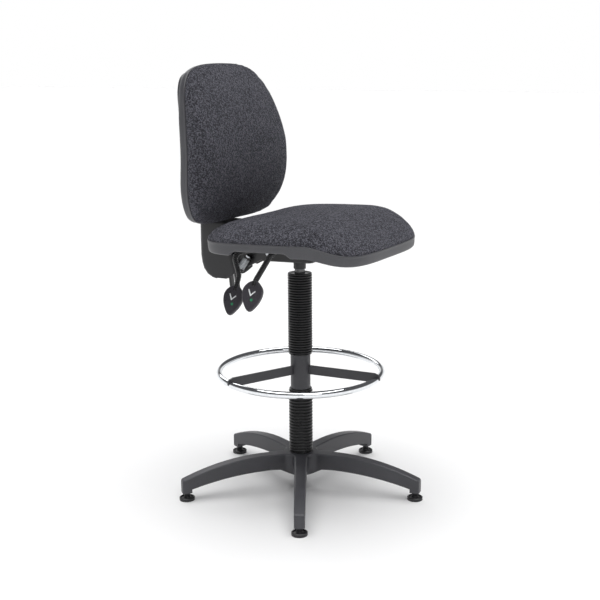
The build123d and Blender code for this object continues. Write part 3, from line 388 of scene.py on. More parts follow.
# Polished chromium plate: mirror bright and slightly cool, with faint wipe marks.
chrome = finish("polished_chromium_plate", "#F2F4F6", "#E4E7EA", 6.0, 0.002, (0.03, 0.08), Metallic=1.0)
dress(powder_coat, "footring_arms", "footring_sleeve")
dress(chrome, "footring")
dress(zinc_plate, "sleeve_set_screws")


# ------------------------------------------------------------------ upper bellows
# Closer ribs than the lower bellows, from the sleeve to just under the seat mechanism, with a
# flat glossy head that closes on the cylinder. The real one folds up as the seat is lowered; this
# mesh keeps one length.
upper_low, upper_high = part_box("upper_gaiter")
upper_gaiter = bellows("upper_bellows", "upper_gaiter", 31, RIB_DEPTH)
cylinder_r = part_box("gas_cylinder")[1].x
join(
    upper_gaiter,
    cuff("foot", upper_high.x - 0.002, tube_r + 0.002, upper_low.z, upper_low.z + CUFF_H, bellows_rubber),
    cuff(
        "head", upper_high.x - 0.001, cylinder_r + 0.0008,
        upper_high.z - CUFF_H, upper_high.z, bellows_rubber,
    ),
)
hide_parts("upper_gaiter")
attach(upper_gaiter, "base")
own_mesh(upper_gaiter)


# ------------------------------------------------------------------ gas cylinder and its inner parts
# The cylinder slides and turns in a nylon bush in the column's mouth. Its rod stands on a ball
# thrust bearing and is clipped under the bottom plate; none of that shows.
# Natural nylon: an ivory that light enters a little.
natural_nylon = finish("natural_nylon", "#E4DEC9", "#D6CFB8", 2.0, 0.02, (0.35, 0.5), IOR=1.53)
# Ground bearing steel: bright with a fine haze.
ground_steel = finish("ground_bearing_steel", "#C9CBCE", "#AEB1B5", 1.0, 0.003, (0.14, 0.24), Metallic=1.0)
# Black nitrided steel: a dark metal with a slight shine.
nitrided = finish("black_nitrided_steel", "#2A2A2D", "#1C1C1F", 2.0, 0.01, (0.22, 0.34), IOR=2.0)
dress(nitrided, "gas_cylinder")
dress(natural_nylon, "guide_bush", "ball_cage", "cylinder_gland")
dress(ground_steel, "lower_race", "bearing_balls", "upper_race", "piston_rod", "release_pin")
dress(zinc_plate, "rod_clip", "gas_piston")
dress(bellows_rubber, "rod_bumper")


# ------------------------------------------------------------------ seat mechanism
# A pressed steel box under a flat plate, open at the back where the bracket of the back pivots
# on a headed pin between friction discs. All of it is stoved black.
# Stoved black enamel: black, fairly glossy, with a soft orange peel.
black_enamel = finish("stoved_black_enamel", "#1D1D1F", "#131315", 2.6, 0.04, (0.28, 0.42), IOR=1.5)
# Bare friction steel: dull grey, dark with oil.
friction_steel = finish("oiled_friction_steel", "#7B7D80", "#5A5C60", 1.8, 0.02, (0.4, 0.6), Metallic=1.0)
dress(black_enamel, "top_plate", "mechanism_housing", "taper_socket", "back_bracket", "tension_ear")
dress(black_enamel, "guide_channel", "back_bar", "lever_brackets")
dress(friction_steel, "fixed_discs", "moving_discs", "pressure_springs")
dress(zinc_plate, "pivot_pin", "lever_pins", "guide_bolt", "guide_nut", "tension_bolt")
dress(zinc_plate, "seat_screws", "seat_t_nuts", "back_screws")


# ------------------------------------------------------------------ seat pan
# Polypropylene under-pan moulded to the seat's outline: a rounded lip that the fabric tucks
# behind, a skirt that is cut higher at the sides for the levers, and a flat floor.
SEAT_PITCH = radians(2.2)
SEAT_SQUARENESS = 4.0
PAN_FLOOR_DROP = 0.0237
PAN_SKIRT_DEEP = 0.033
PAN_SKIRT_FRONT = 0.028
PAN_SKIRT_ARCH = 0.0215
ARCH_BACK_Y = 0.072
ARCH_FRONT_Y = -0.116
ARCH_SLOPE = 0.022
SEAT_POINTS = 240
pan_low, pan_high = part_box("seat_pan")
plate_low, plate_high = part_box("top_plate")
RIM_Z = (plate_low.z + plate_high.z) / 2 + PAN_FLOOR_DROP
SEAT_HALF_W = pan_high.x
SEAT_HALF_D = (pan_high.y - pan_low.y) / 2
SEAT_MID_Y = (pan_high.y + pan_low.y) / 2
SEAT_FRONT_Y = pan_low.y
WATERFALL_Y = SEAT_FRONT_Y + 0.128
WATERFALL_DROP = 0.0317
SEAT_PLACE = Matrix.Translation((0, 0, RIM_Z)) @ Matrix.Rotation(-SEAT_PITCH, 4, "X")


def smooth_step(t):
    """Ease from 0 to 1."""
    t = min(max(t, 0.0), 1.0)
    return t * t * (3 - 2 * t)


def seat_ring(inset, height, share=1.0):
    """Ring on the seat's rounded-square outline, in the row frame.

    height is a number or a function of (x, y); share shrinks the ring towards its middle.
    """
    ring = []
    for k in range(SEAT_POINTS):
        a = 2 * pi * k / SEAT_POINTS
        over_x = abs(cos(a) / (SEAT_HALF_W - inset)) ** SEAT_SQUARENESS
        over_y = abs(sin(a) / (SEAT_HALF_D - inset)) ** SEAT_SQUARENESS
        r = share * (over_x + over_y) ** (-1 / SEAT_SQUARENESS)
        x = r * cos(a)
        y = SEAT_MID_Y + r * sin(a)
        z = height(x, y) if callable(height) else height
        drop = WATERFALL_DROP * smooth_step((WATERFALL_Y - y) / (WATERFALL_Y - SEAT_FRONT_Y))
        ring.append(SEAT_PLACE @ Vector((x, y, z - drop)))
    return ring


def loft(name, rings, material=None):
    """Closed skin through rings of equally many points, closed at the middle of both end rings."""
    size = len(rings[0])
    verts = [point for ring in rings for point in ring]
    faces = []
    for k in range(len(rings) - 1):
        for i in range(size):
            j = (i + 1) % size
            faces.append((k * size + i, k * size + j, (k + 1) * size + j, (k + 1) * size + i))
    for ring, start in ((rings[0], 0), (rings[-1], (len(rings) - 1) * size)):
        verts.append(sum(ring, Vector()) / size)
        faces.extend((start + i, start + (i + 1) % size, len(verts) - 1) for i in range(size))
    return outward(piece(name, verts, faces, material))


def skirt_depth(x, y):
    """Depth of the pan's skirt: deep at the back corners, cut high beside the levers."""
    front = smooth_step((SEAT_FRONT_Y + 0.10 - y) / 0.10)
    deep = PAN_SKIRT_DEEP + (PAN_SKIRT_FRONT - PAN_SKIRT_DEEP) * front
    behind = smooth_step((y - ARCH_BACK_Y + ARCH_SLOPE) / ARCH_SLOPE)
    before = smooth_step((ARCH_FRONT_Y + ARCH_SLOPE - y) / ARCH_SLOPE)
    side = smooth_step((abs(x) - 0.7 * SEAT_HALF_W) / (0.1 * SEAT_HALF_W))
    cut = side * (1 - max(behind, before))
    return deep + (PAN_SKIRT_ARCH - deep) * cut


def skirt(share, up=0.0):
    """Height function: a share of the skirt's depth, lifted a little."""
    return lambda x, y: up - share * skirt_depth(x, y)


# Moulded polypropylene: mid charcoal, satin, with a fine spark-eroded grain.
pan_polypropylene = finish(
    "moulded_charcoal_polypropylene", "#4A4A4E", "#404044", 1.4, 0.07, (0.4, 0.52), IOR=1.49,
)
floor_z = -0.0195
seat_pan = loft("seat_underpan", [
    seat_ring(0.02, floor_z, 0.5),
    seat_ring(0.02, floor_z),
    seat_ring(0.0045, floor_z),
    seat_ring(0.0038, -0.004),
    seat_ring(0.0030, -0.0008),
    seat_ring(0.0022, 0.0),
    seat_ring(0.0012, 0.0),
    seat_ring(0.0004, -0.0006),
    seat_ring(0.0, -0.0018),
    seat_ring(0.0, -0.0036),
    seat_ring(0.0008, -0.0048),
    seat_ring(0.0009, -0.008),
    seat_ring(0.0013, skirt(0.6)),
    seat_ring(0.0022, skirt(1.0, 0.0050)),
    seat_ring(0.0034, skirt(1.0, 0.0022)),
    seat_ring(0.0052, skirt(1.0, 0.0005)),
    seat_ring(0.0070, skirt(1.0)),
    seat_ring(0.0082, skirt(1.0, 0.0008)),
    seat_ring(0.0088, skirt(1.0, 0.0028)),
    seat_ring(0.0092, lambda x, y: min(-skirt_depth(x, y) + 0.008, -0.0222)),
    seat_ring(0.0105, -0.0222),
    seat_ring(0.03, -0.0222),
    seat_ring(0.03, -0.0222, 0.5),
], pan_polypropylene)
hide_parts("seat_pan")
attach(seat_pan, "seat_carrier")


# ------------------------------------------------------------------ seat board
# Nine-ply beech, pressed flat, hidden between the pan and the foam.
# Rotary-cut beech veneer: pale, with long grain along X and thin dark glue lines.
def veneer():
    """Plywood: noise drawn out along X for the grain, and thin glue lines stacked along Z."""
    material = bpy.data.materials.new("rotary_cut_beech_ply")
    material.use_nodes = True
    tree = material.node_tree
    tree.nodes.clear()
    place = add(tree, "ShaderNodeTexCoord").outputs["Object"]
    drawn = add(tree, "ShaderNodeMapping", {"Vector": place, "Scale": (6, 90, 90)})
    grain = add(tree, "ShaderNodeTexNoise", {"Vector": drawn.outputs[0], "Scale": 3.0, "Detail": 6.0})
    plies = add(tree, "ShaderNodeTexWave", {
        "Vector": place, "Scale": 120.0, "Distortion": 0.3,
    }, bands_direction="Z")
    tones = add(tree, "ShaderNodeValToRGB", {"Fac": grain.outputs[0]})
    tones.color_ramp.elements[0].color = srgb("#A98457")
    tones.color_ramp.elements[1].color = srgb("#D9BC92")
    lines = add(tree, "ShaderNodeMix", {
        "Factor": plies.outputs["Fac"], 6: tones.outputs["Color"], 7: srgb("#B08E62"),
    }, data_type="RGBA")
    lift = add(tree, "ShaderNodeBump", {"Height": grain.outputs[0], "Strength": 0.4, "Distance": 0.0002})
    skin = add(tree, "ShaderNodeBsdfPrincipled", {
        "Base Color": lines.outputs[2], "Roughness": 0.62, "Normal": lift.outputs[0],
    })
    add(tree, "ShaderNodeOutputMaterial", {"Surface": skin.outputs[0]})
    return material


beech_ply = veneer()
dress(beech_ply, "seat_board", "back_board", "bar_spacers")


# ------------------------------------------------------------------ seat cushion
# Moulded foam under one panel of crepe, pulled down round the edge and stapled under the board.
# The sides roll over in one soft curve, the front falls away under the knees, the top is crowned.
SIDE_SHOULDER = 0.044
END_SHOULDER = 0.033
SHOULDER_REACH = 0.058
CROWN = 0.0575
ROUNDNESS = 2.3
CLOTH_CELL = 0.005


def crepe():
    """Wool-mix crepe: pebbled yarn in three charcoals with a bluish cast and a short nap.

    The yarn's real pitch is near 1 mm; the pebble is drawn at 2.6 mm so that it shows.
    """
    material = bpy.data.materials.new("charcoal_wool_crepe")
    material.use_nodes = True
    tree = material.node_tree
    tree.nodes.clear()
    place = add(tree, "ShaderNodeTexCoord").outputs["Object"]
    wander = add(tree, "ShaderNodeTexNoise", {"Vector": place, "Scale": 260.0, "Detail": 2.0})
    bent = add(tree, "ShaderNodeVectorMath", {
        0: wander.outputs["Color"], 1: (0.0022, 0.0022, 0.0022), 2: place,
    }, operation="MULTIPLY_ADD")
    pebble = add(tree, "ShaderNodeTexVoronoi", {"Vector": bent.outputs[0], "Scale": 1000 / 2.6})
    yarn = add(tree, "ShaderNodeTexNoise", {"Vector": place, "Scale": 1000 / 1.1, "Detail": 2.0})
    mottle = add(tree, "ShaderNodeTexNoise", {"Vector": place, "Scale": 1000 / 4.5, "Detail": 2.0})
    wear = add(tree, "ShaderNodeTexNoise", {"Vector": place, "Scale": 11.0, "Detail": 2.0})
    cell = add(tree, "ShaderNodeSeparateColor", {"Color": pebble.outputs["Color"]})
    first = add(tree, "ShaderNodeMix", {"Factor": 0.5, 2: cell.outputs[0], 3: mottle.outputs[0]})
    tone = add(tree, "ShaderNodeMix", {"Factor": 0.12, 2: first.outputs[0], 3: wear.outputs[0]})
    tones = add(tree, "ShaderNodeValToRGB", {"Fac": tone.outputs[0]})
    tones.color_ramp.elements[0].position = 0.3
    tones.color_ramp.elements[0].color = srgb("#222226")
    tones.color_ramp.elements[1].position = 0.66
    tones.color_ramp.elements[1].color = srgb("#62626A")
    middle = tones.color_ramp.elements.new(0.5)
    middle.color = srgb("#3D3D44")
    height = add(tree, "ShaderNodeMath", {
        0: pebble.outputs["Distance"], 1: 600.0, 2: yarn.outputs[0],
    }, operation="MULTIPLY_ADD")
    lift = add(tree, "ShaderNodeBump", {
        "Height": height.outputs[0], "Strength": 0.5, "Distance": 0.0004,
    })
    skin = add(tree, "ShaderNodeBsdfPrincipled", {
        "Base Color": tones.outputs["Color"], "Roughness": 0.94, "Normal": lift.outputs[0],
        "Sheen Weight": 0.22, "Sheen Roughness": 0.55, "Sheen Tint": srgb("#93939E"),
        "Specular IOR Level": 0.25,
    })
    add(tree, "ShaderNodeOutputMaterial", {"Surface": skin.outputs[0]})
    return material


def seat_height(inset):
    """Height over the rim of the cushion's skin at a distance in from the outline."""
    def height(x, y):
        sideways = abs(x / SEAT_HALF_W) ** 3
        endways = abs((y - SEAT_MID_Y) / SEAT_HALF_D) ** 3
        shoulder = END_SHOULDER + (SIDE_SHOULDER - END_SHOULDER) * sideways / (sideways + endways + 1e-9)
        t = min(inset / SHOULDER_REACH, 1.0)
        return shoulder * (1 - (1 - t) ** ROUNDNESS) ** (1 / ROUNDNESS)
    return height


def seat_crown(share):
    """Height over the rim inside the shoulder, rising to the crown in the middle."""
    edge = seat_height(SHOULDER_REACH)
    return lambda x, y: edge(x, y) * share ** 2 + CROWN * (1 - share ** 2)


def inflate(made, held, cap, cell=CLOTH_CELL):
    """Stretch a skin over its foam by cloth simulation, then round it with one subdivision.

    held(point) is true where the cover is fixed, and no point moves further than cap.
    """
    remesh = made.modifiers.new("even_mesh", "REMESH")
    remesh.mode = "VOXEL"
    remesh.voxel_size = cell
    settle(made)
    start = [v.co.copy() for v in made.data.vertices]
    pinned = made.vertex_groups.new(name="held")
    pinned.add([k for k, point in enumerate(start) if held(point)], 1.0, "REPLACE")
    cloth = made.modifiers.new("cover", "CLOTH")
    cloth.settings.quality = 4
    cloth.settings.use_pressure = True
    cloth.settings.uniform_pressure_force = 4.0
    cloth.settings.effector_weights.gravity = 0.0
    cloth.settings.vertex_group_mass = "held"
    cloth.settings.tension_stiffness = 25
    cloth.settings.bending_stiffness = 2.0
    for step in range(1, 21):
        bpy.context.scene.frame_set(step)
    settle(made)
    bpy.context.scene.frame_set(1)
    for vertex, origin in zip(made.data.vertices, start):
        shift = vertex.co - origin
        if shift.length > cap:
            vertex.co = origin + shift * (cap / shift.length)
    made.data.update()
    relax = made.modifiers.new("relax", "SMOOTH")
    relax.iterations = 4
    round_off = made.modifiers.new("round_off", "SUBSURF")
    round_off.levels = 1
    round_off.render_levels = 1
    settle(made)
    made.data.shade_smooth()
    return made


charcoal_crepe = crepe()
SHOULDER_STEPS = (0.0, 0.0006, 0.002, 0.005, 0.009, 0.014, 0.02, 0.027, 0.035, 0.045)
rings = [seat_ring(0.012, -0.0065, share) for share in (0.3, 0.7, 1.0)]
rings += [seat_ring(0.0045, -0.0062), seat_ring(0.0042, -0.002), seat_ring(0.003, 0.0006)]
rings += [seat_ring(inset + 0.0006, seat_height(inset)) for inset in SHOULDER_STEPS]
CROWN_SHARES = (1.0, 0.93, 0.85, 0.75, 0.6, 0.45, 0.3, 0.15)
rings += [seat_ring(SHOULDER_REACH, seat_crown(share), share) for share in CROWN_SHARES]
seat_cushion = loft("seat_cushion_cover", rings)
to_seat = SEAT_PLACE.inverted()
inflate(seat_cushion, lambda point: (to_seat @ point).z < 0.006 - WATERFALL_DROP * smooth_step(
    (WATERFALL_Y - point.y) / (WATERFALL_Y - SEAT_FRONT_Y)), 0.005)
seat_cushion.data.materials.clear()
seat_cushion.data.materials.append(charcoal_crepe)
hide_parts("seat_cushion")
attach(seat_cushion, "seat_carrier")


# ------------------------------------------------------------------ levers
# Two bent steel rods leave the housing on the sitter's right: one works the gas spring's valve,
# the other frees the back. Each ends in a corrugated sleeve and a moulded leaf-shaped paddle.
LEVER_BEND_R = 0.020
SLEEVE_SHARE = 0.55
SLEEVE_R = 0.0075
SLEEVE_PITCH = 0.0046
MARK_T = 0.0006
OUTWARD = Vector((-1, -0.25, 0.55))
height_pin_low, height_pin_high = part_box("lever_pins")
LEVER_Z = (height_pin_low.z + height_pin_high.z) / 2
HEIGHT_Y = height_pin_low.y + 0.009
TILT_Y = height_pin_high.y - 0.009
HEIGHT_PATH = [
    Vector((0.006, HEIGHT_Y, LEVER_Z)),
    Vector((-0.100, HEIGHT_Y, LEVER_Z)),
    Vector((-0.150, HEIGHT_Y, LEVER_Z - 0.0035)),
    Vector((-0.226, HEIGHT_Y, LEVER_Z - 0.058)),
    Vector((-0.232, HEIGHT_Y, LEVER_Z - 0.071)),
]
TILT_PATH = [
    Vector((-0.014, TILT_Y, LEVER_Z)),
    Vector((-0.074, TILT_Y, LEVER_Z + 0.002)),
    Vector((-0.140, TILT_Y + 0.088, LEVER_Z - 0.009)),
    Vector((-0.157, TILT_Y + 0.060, LEVER_Z - 0.064)),
    Vector((-0.174, TILT_Y + 0.062, LEVER_Z - 0.103)),
]


def bent(points, radius):
    """Centre line of a rod bent round each inner point on one radius."""
    line = [points[0]]
    for before, corner, after in zip(points, points[1:], points[2:]):
        back = (before - corner).normalized()
        forth = (after - corner).normalized()
        half = back.angle(forth) / 2
        reach = radius / (sin(half) / cos(half))
        centre = corner + (back + forth).normalized() * (radius / sin(half))
        start = corner + back * reach - centre
        stop = corner + forth * reach - centre
        line.extend(centre + radius * start.slerp(stop, k / 8) for k in range(9))
    return line + [points[-1]]


def last_part(line, share):
    """The stretch of a line after a share of its length, in even steps."""
    lengths = [0.0]
    for a, b in zip(line, line[1:]):
        lengths.append(lengths[-1] + (b - a).length)
    count = 60
    part = []
    for k in range(count + 1):
        want = lengths[-1] * (share + (1 - share) * k / count)
        j = max(i for i, length in enumerate(lengths) if length <= want + 1e-9)
        j = min(j, len(line) - 2)
        part.append(line[j].lerp(line[j + 1], (want - lengths[j]) / (lengths[j + 1] - lengths[j])))
    return part


def lever_sleeve(name, node, points, body):
    """Corrugated sleeve over the lower part of a lever."""
    line = last_part(bent(points, LEVER_BEND_R), SLEEVE_SHARE)
    length = sum((b - a).length for a, b in zip(line, line[1:]))
    made = grow(line_through(name, line), CORRUGATED, {
        "Ribs": round(length / SLEEVE_PITCH), "Rings per rib": 8, "Sides": 28,
        "Crest radius": SLEEVE_R, "Rib depth": 0.0024, "Material": sleeve_vinyl,
    })
    thicken(outward(made), 0.001)
    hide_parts(node)
    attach(made, body)


def raised(name, outline, plane, lift, material):
    """Thin raised mark with a flat (across, along) outline on a paddle's face."""
    verts = [plane @ Vector((x, y, z)) for z in (lift - MARK_T, lift) for x, y in outline]
    size = len(outline)
    faces = [tuple(range(size))[::-1], tuple(range(size, 2 * size))]
    faces += [(k, (k + 1) % size, size + (k + 1) % size, size + k) for k in range(size)]
    made = outward(piece(name, verts, faces, material))
    made.data.shade_flat()
    return made


def paddle_marks(name, points, body):
    """A white tick bar and a small green dot on a paddle's outer face."""
    down = (points[-1] - points[-2]).normalized()
    normal = (OUTWARD - down * OUTWARD.dot(down)).normalized()
    across = down.cross(normal)
    plane = Matrix((across, down, normal)).transposed().to_4x4()
    plane.translation = points[-1]
    tick = [
        (-0.009, 0.014), (-0.007, 0.012), (0.002, 0.022),
        (0.009, 0.009), (0.0115, 0.0105), (0.003, 0.027),
    ]
    dot = [(0.0035 * cos(2 * pi * k / 20) - 0.002, 0.036 + 0.0035 * sin(2 * pi * k / 20)) for k in range(20)]
    white = raised(name + "_white_mark", tick, plane, PADDLE_HALF_T + MARK_T / 2, white_print)
    green = raised(name + "_green_mark", dot, plane, PADDLE_HALF_T + MARK_T / 2, green_print)
    for made in (white, green):
        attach(made, body)


PADDLE_HALF_T = 0.006
# Moulded ABS: warm charcoal with a soft gloss and slight flow marks.
lever_abs = finish("charcoal_abs", "#3E3C41", "#333136", 3.5, 0.03, (0.26, 0.36), IOR=1.54)
# Soft vinyl: near black and glossy, with a little bloom.
sleeve_vinyl = finish("glossy_black_vinyl", "#1C1C1E", "#101012", 2.0, 0.02, (0.16, 0.28), IOR=1.52)
# Pad-printed ink, white and green: flat and slightly rough.
white_print = finish("white_printing_ink", "#E9ECEC", "#D4D9D9", 1.2, 0.01, (0.4, 0.55), IOR=1.5)
green_print = finish("green_printing_ink", "#2F8A5E", "#23744D", 1.2, 0.01, (0.4, 0.55), IOR=1.5)
dress(black_enamel, "height_lever_rod", "tilt_lever_rod")
dress(lever_abs, "height_lever_paddle", "tilt_lever_paddle")
lever_sleeve("height_lever_grip", "height_lever_sleeve", HEIGHT_PATH, "height_lever")
lever_sleeve("tilt_lever_grip", "tilt_lever_sleeve", TILT_PATH, "tilt_lever")
paddle_marks("height_paddle", HEIGHT_PATH, "height_lever")
paddle_marks("tilt_paddle", TILT_PATH, "tilt_lever")


# ------------------------------------------------------------------ return spring
# A zinc-plated coil spring on the tension bolt beside the bracket pushes the back forward again.
# It sits under a black end cap and slants up towards the seat.
def coil_tree():
    """Geometry Nodes: round wire wound in a coil about Z, at the origin."""
    tree = geometry_group(
        "coil_spring", Host="Geometry", Turns="Float", Coil_radius="Float", Length="Float",
        Wire_radius="Float", Material="Material",
    )
    given = add(tree, "NodeGroupInput").outputs
    line = add(tree, "GeometryNodeCurveSpiral", {
        "Resolution": 40, "Rotations": given["Turns"], "Start Radius": given["Coil radius"],
        "End Radius": given["Coil radius"], "Height": given["Length"],
    })
    wire = add(tree, "GeometryNodeCurvePrimitiveCircle", {"Resolution": 12, "Radius": given["Wire radius"]})
    coil = add(tree, "GeometryNodeCurveToMesh", {
        "Curve": line.outputs[0], "Profile Curve": wire.outputs[0], "Fill Caps": True,
    })
    real = add(tree, "GeometryNodeRealizeInstances", {"Geometry": coil.outputs[0]})
    coloured = add(tree, "GeometryNodeSetMaterial", {
        "Geometry": real.outputs[0], "Material": given["Material"],
    })
    add(tree, "NodeGroupOutput", {"Geometry": coloured.outputs[0]})
    return tree


SPRING_TILT = radians(36.0)
SPRING_LEN = 0.036
SPRING_WIRE_R = 0.0015
spring_low, spring_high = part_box("tension_spring")
spring_place = Matrix.Translation((spring_low + spring_high) / 2) @ Matrix.Rotation(SPRING_TILT, 4, "X")
spring = grow(piece("return_spring", [(0, 0, 0)], []), coil_tree(), {
    "Turns": 7.0, "Coil radius": (spring_high.x - spring_low.x) / 2 - SPRING_WIRE_R,
    "Length": SPRING_LEN - 2 * SPRING_WIRE_R, "Wire radius": SPRING_WIRE_R, "Material": zinc_plate,
})
spring.data.transform(spring_place @ Matrix.Translation((0, 0, SPRING_WIRE_R - SPRING_LEN / 2)))
outward(spring)
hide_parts("tension_spring")
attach(spring, "back_arm")
dress(glide_acetal, "tension_cap")


# ------------------------------------------------------------------ boot over the back's guide
# A polypropylene boot covers the guide that the back bar slides in. Its walls wrap the sides and
# the rear in one piece and the rear foot is drawn in. The real boot's flat top plate with the bar's
# slot is not built, so the top is left open.
BOOT_WALL = 0.003
BOOT_CORNER_R = 0.016
boot_low, boot_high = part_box("boot")


def boot_section(z, front, rear, soft=0.0):
    """Open U of the boot's wall at one height, from one front edge round the rear to the other."""
    half = boot_high.x - soft
    corner = min(BOOT_CORNER_R, (rear - front) / 2)
    side = [Vector((-half, front + (rear - corner - front) * k / 6, z)) for k in range(7)]
    for k in range(1, 7):
        a = pi / 2 * k / 6
        side.append(Vector((-half + corner * (1 - cos(a)), rear - corner * (1 - sin(a)), z)))
    across = [Vector((x * (half - corner), rear, z)) for x in (-0.6, -0.2, 0.2, 0.6)]
    other = [Vector((-p.x, p.y, p.z)) for p in reversed(side)]
    return side + across + other


def boot_shell():
    """Wall of the boot lofted through its sections, then thickened inward."""
    low, high = boot_low.z, boot_high.z
    front, rear = boot_low.y, boot_high.y
    profile = [
        (low, front + 0.034, front + 0.078), (low + 0.002, front + 0.028, front + 0.088),
        (low + 0.010, front + 0.016, rear - 0.019), (low + 0.024, front, rear - 0.008),
        (low + 0.040, front + 0.004, rear - 0.003), (low + 0.060, front + 0.010, rear),
        (low + 0.078, front + 0.014, rear), (low + 0.115, front + 0.022, rear),
        (high - 0.006, front + 0.029, rear), (high - 0.002, front + 0.030, rear - 0.001),
        (high - 0.0005, front + 0.031, rear - 0.003), (high, front + 0.032, rear - 0.006),
    ]
    rows = [boot_section(z, f, r, max(0.0, (z - high + 0.003) * 1.4)) for z, f, r in profile]
    size = len(rows[0])
    verts = [p for row in rows for p in row]
    faces = []
    for k in range(len(rows) - 1):
        for i in range(size - 1):
            a = k * size + i
            faces.append((a, a + 1, a + size + 1, a + size))
    return thicken(piece("guide_boot", verts, faces, boot_polypropylene), BOOT_WALL)


# Moulded polypropylene, as the pan but darker: satin with a fine grain.
boot_polypropylene = finish(
    "moulded_dark_polypropylene", "#28282A", "#202022", 1.4, 0.07, (0.42, 0.54), IOR=1.49,
)
guide_boot = boot_shell()
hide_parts("boot")
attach(guide_boot, "back_arm")


# ------------------------------------------------------------------ back shell
# Polypropylene rear shell of the back, bowed to the spine: a thin lip beside the cushion's seam,
# a deep rounded edge and a gently domed rear. The real shell's mouth for the bar at its foot is
# not cut here.
BACK_CURVE_R = 0.926
LUMBAR_SHARE = 0.3294
SHELL_EDGE = 0.027
SHELL_MID = 0.047
TOP_TUCK = 0.006
TUCK_FROM_Z = 1.02
TUCK_REACH = 0.10
BACK_POINTS = 240
shell_low, shell_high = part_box("back_shell")
BACK_HALF_W = shell_high.x
BACK_LOW_Z = shell_low.z
BACK_TALL = shell_high.z - shell_low.z
SEAM_Y = shell_low.y
LUMBAR_Z = BACK_LOW_Z + LUMBAR_SHARE * BACK_TALL
BACK_MIDDLE = Vector((0, 0, BACK_LOW_Z + 0.46 * BACK_TALL))


def through(points, count):
    """Even points along the closed smooth curve through points."""
    fine = []
    size = len(points)
    for k in range(size):
        a, b, c, d = (points[(k + i) % size] for i in (-1, 0, 1, 2))
        for step in range(40):
            t = step / 40
            fine.append(0.5 * (
                2 * b + (c - a) * t + (2 * a - 5 * b + 4 * c - d) * t ** 2
                + (3 * b - a - 3 * c + d) * t ** 3
            ))
    lengths = [0.0]
    for k, point in enumerate(fine):
        lengths.append(lengths[-1] + (fine[(k + 1) % len(fine)] - point).length)
    even = []
    j = 0
    for k in range(count):
        want = lengths[-1] * k / count
        while lengths[j + 1] < want:
            j += 1
        share = (want - lengths[j]) / (lengths[j + 1] - lengths[j])
        even.append(fine[j].lerp(fine[(j + 1) % len(fine)], share))
    return even


def back_outline():
    """Shield outline of the back: widest low down, narrower at the rounded top."""
    w = BACK_HALF_W
    top = 0.8165 * w
    z0 = BACK_LOW_Z
    z1 = BACK_LOW_Z + BACK_TALL
    half = [
        (0, z0), (0.62 * w, z0 + 0.003), (0.87 * w, z0 + 0.028), (w, z0 + 0.095),
        (w - 0.004, z0 + 0.190), ((w + top) / 2 + 0.004, z0 + 0.290),
        (top, z1 - 0.055), (0.68 * top, z1 - 0.011),
    ]
    half = [(min(x, w), z) for x, z in half]
    other = [(0, z1)] + [(-x, z) for x, z in reversed(half[1:])]
    return through([Vector((x, 0, z)) for x, z in half + other], BACK_POINTS)


def seam_y(z):
    """Side-view arc of the seam between the back's shell and its cushion."""
    return SEAM_Y + BACK_CURVE_R - (BACK_CURVE_R ** 2 - (z - LUMBAR_Z) ** 2) ** 0.5


BACK_OUTLINE = back_outline()
BACK_NORMALS = []
for k, point in enumerate(BACK_OUTLINE):
    along = BACK_OUTLINE[(k + 1) % BACK_POINTS] - BACK_OUTLINE[k - 1]
    BACK_NORMALS.append(Vector((along.z, 0, -along.x)).normalized())


def back_ring(inset, depth, share=1.0):
    """Ring on the back's outline, moved in by inset and behind the seam by depth.

    Both are numbers or functions of (x, z); share shrinks the ring towards its middle.
    """
    ring = []
    for point, normal in zip(BACK_OUTLINE, BACK_NORMALS):
        shift = inset(point.x, point.z) if callable(inset) else inset
        place = BACK_MIDDLE + (point - normal * shift - BACK_MIDDLE) * share
        behind = depth(place.x, place.z) if callable(depth) else depth
        ring.append(Vector((place.x, seam_y(place.z) + behind, place.z)))
    return ring


def shell_depth(x, z):
    """Depth of the rear dome behind the seam."""
    return SHELL_EDGE + (SHELL_MID - SHELL_EDGE) * (1 - (x / BACK_HALF_W) ** 2) - 0.0005


def tucked(inset, share):
    """Inset that grows towards the top, where the shell's edge is drawn in more."""
    return lambda x, z: inset + share * TOP_TUCK * smooth_step((z - TUCK_FROM_Z) / TUCK_REACH)


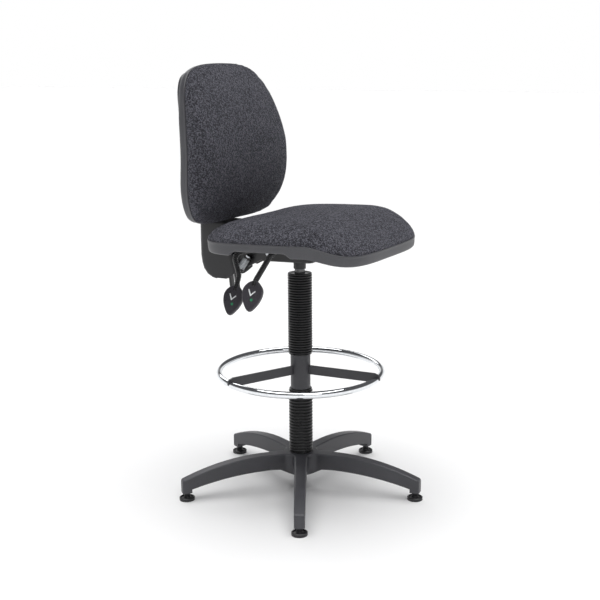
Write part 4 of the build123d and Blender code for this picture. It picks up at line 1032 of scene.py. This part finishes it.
back_shell = loft("back_rear_shell", [
    back_ring(0.02, 0.0045, 0.5),
    back_ring(0.02, 0.0045),
    back_ring(0.0048, 0.0045),
    back_ring(0.0040, 0.0015),
    back_ring(0.0030, 0.0002),
    back_ring(0.0014, 0.0),
    back_ring(0.0005, 0.0006),
    back_ring(0.0, 0.0018),
    back_ring(0.0, 0.0040),
    back_ring(0.0007, 0.0050),
    back_ring(0.0009, 0.009),
    back_ring(tucked(0.0014, 0.35), 0.016),
    back_ring(tucked(0.0024, 0.6), 0.0205),
    back_ring(tucked(0.0042, 0.8), 0.0240),
    back_ring(tucked(0.0068, 0.9), 0.0264),
    back_ring(tucked(0.0105, 1.0), 0.0280),
    back_ring(0.016, shell_depth),
    back_ring(0.016, shell_depth, 0.94),
    back_ring(0.016, shell_depth, 0.84),
    back_ring(0.016, shell_depth, 0.7),
    back_ring(0.016, shell_depth, 0.5),
    back_ring(0.016, shell_depth, 0.25),
], pan_polypropylene)
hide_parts("back_shell")
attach(back_shell, "backrest")


# ------------------------------------------------------------------ back cushion
# Moulded foam under one crepe panel, tucked behind the shell's lip. The edge swells past the
# seam, the face is nearly flat across and follows the bow of the shell from top to bottom.
BACK_CROWN = 0.062
BACK_END = 0.016
BACK_BULGE = 0.009
SIDE_FALL = 0.14
TOP_FALL = 0.5


def foam_depth(x, z):
    """Full thickness of the cushion in front of the seam."""
    t = (z - BACK_LOW_Z - BACK_TALL / 2) / (BACK_TALL / 2)
    upright_t = BACK_END + (BACK_CROWN - BACK_END) * (1 - min(abs(t), 1.0) ** 2)
    fall = SIDE_FALL + TOP_FALL * max(t, 0.0)
    return upright_t * (1 - fall * (x / BACK_HALF_W) ** 2)


def forward(share):
    """Depth function: a share of the cushion's thickness, forward of the seam."""
    return lambda x, z: -0.0005 - share * foam_depth(x, z)


def swell(share):
    """Inset function: a share of the edge's bulge, more where the foam is thick."""
    return lambda x, z: -share * BACK_BULGE * foam_depth(x, z) / BACK_CROWN


back_rings = [back_ring(0.02, 0.0025, 0.5), back_ring(0.0055, 0.0025)]
back_rings += [back_ring(0.0046, 0.001), back_ring(0.0030, -0.0004)]
for bulge, depth in (
    (0.0, 0.0), (0.42, 0.07), (0.78, 0.17), (0.98, 0.3), (1.0, 0.43), (0.8, 0.56),
    (0.3, 0.69), (-0.6, 0.81), (-1.8, 0.9), (-3.2, 0.955), (-5.0, 0.99),
):
    back_rings.append(back_ring(swell(bulge), forward(depth)))
back_rings += [back_ring(0.046, forward(1.0), share) for share in (0.92, 0.8, 0.65, 0.45, 0.25)]
back_cushion = loft("back_cushion_cover", back_rings)
inflate(back_cushion, lambda point: point.y > seam_y(point.z) - 0.004, 0.004)
back_cushion.data.materials.clear()
back_cushion.data.materials.append(charcoal_crepe)
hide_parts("back_cushion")
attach(back_cushion, "backrest")
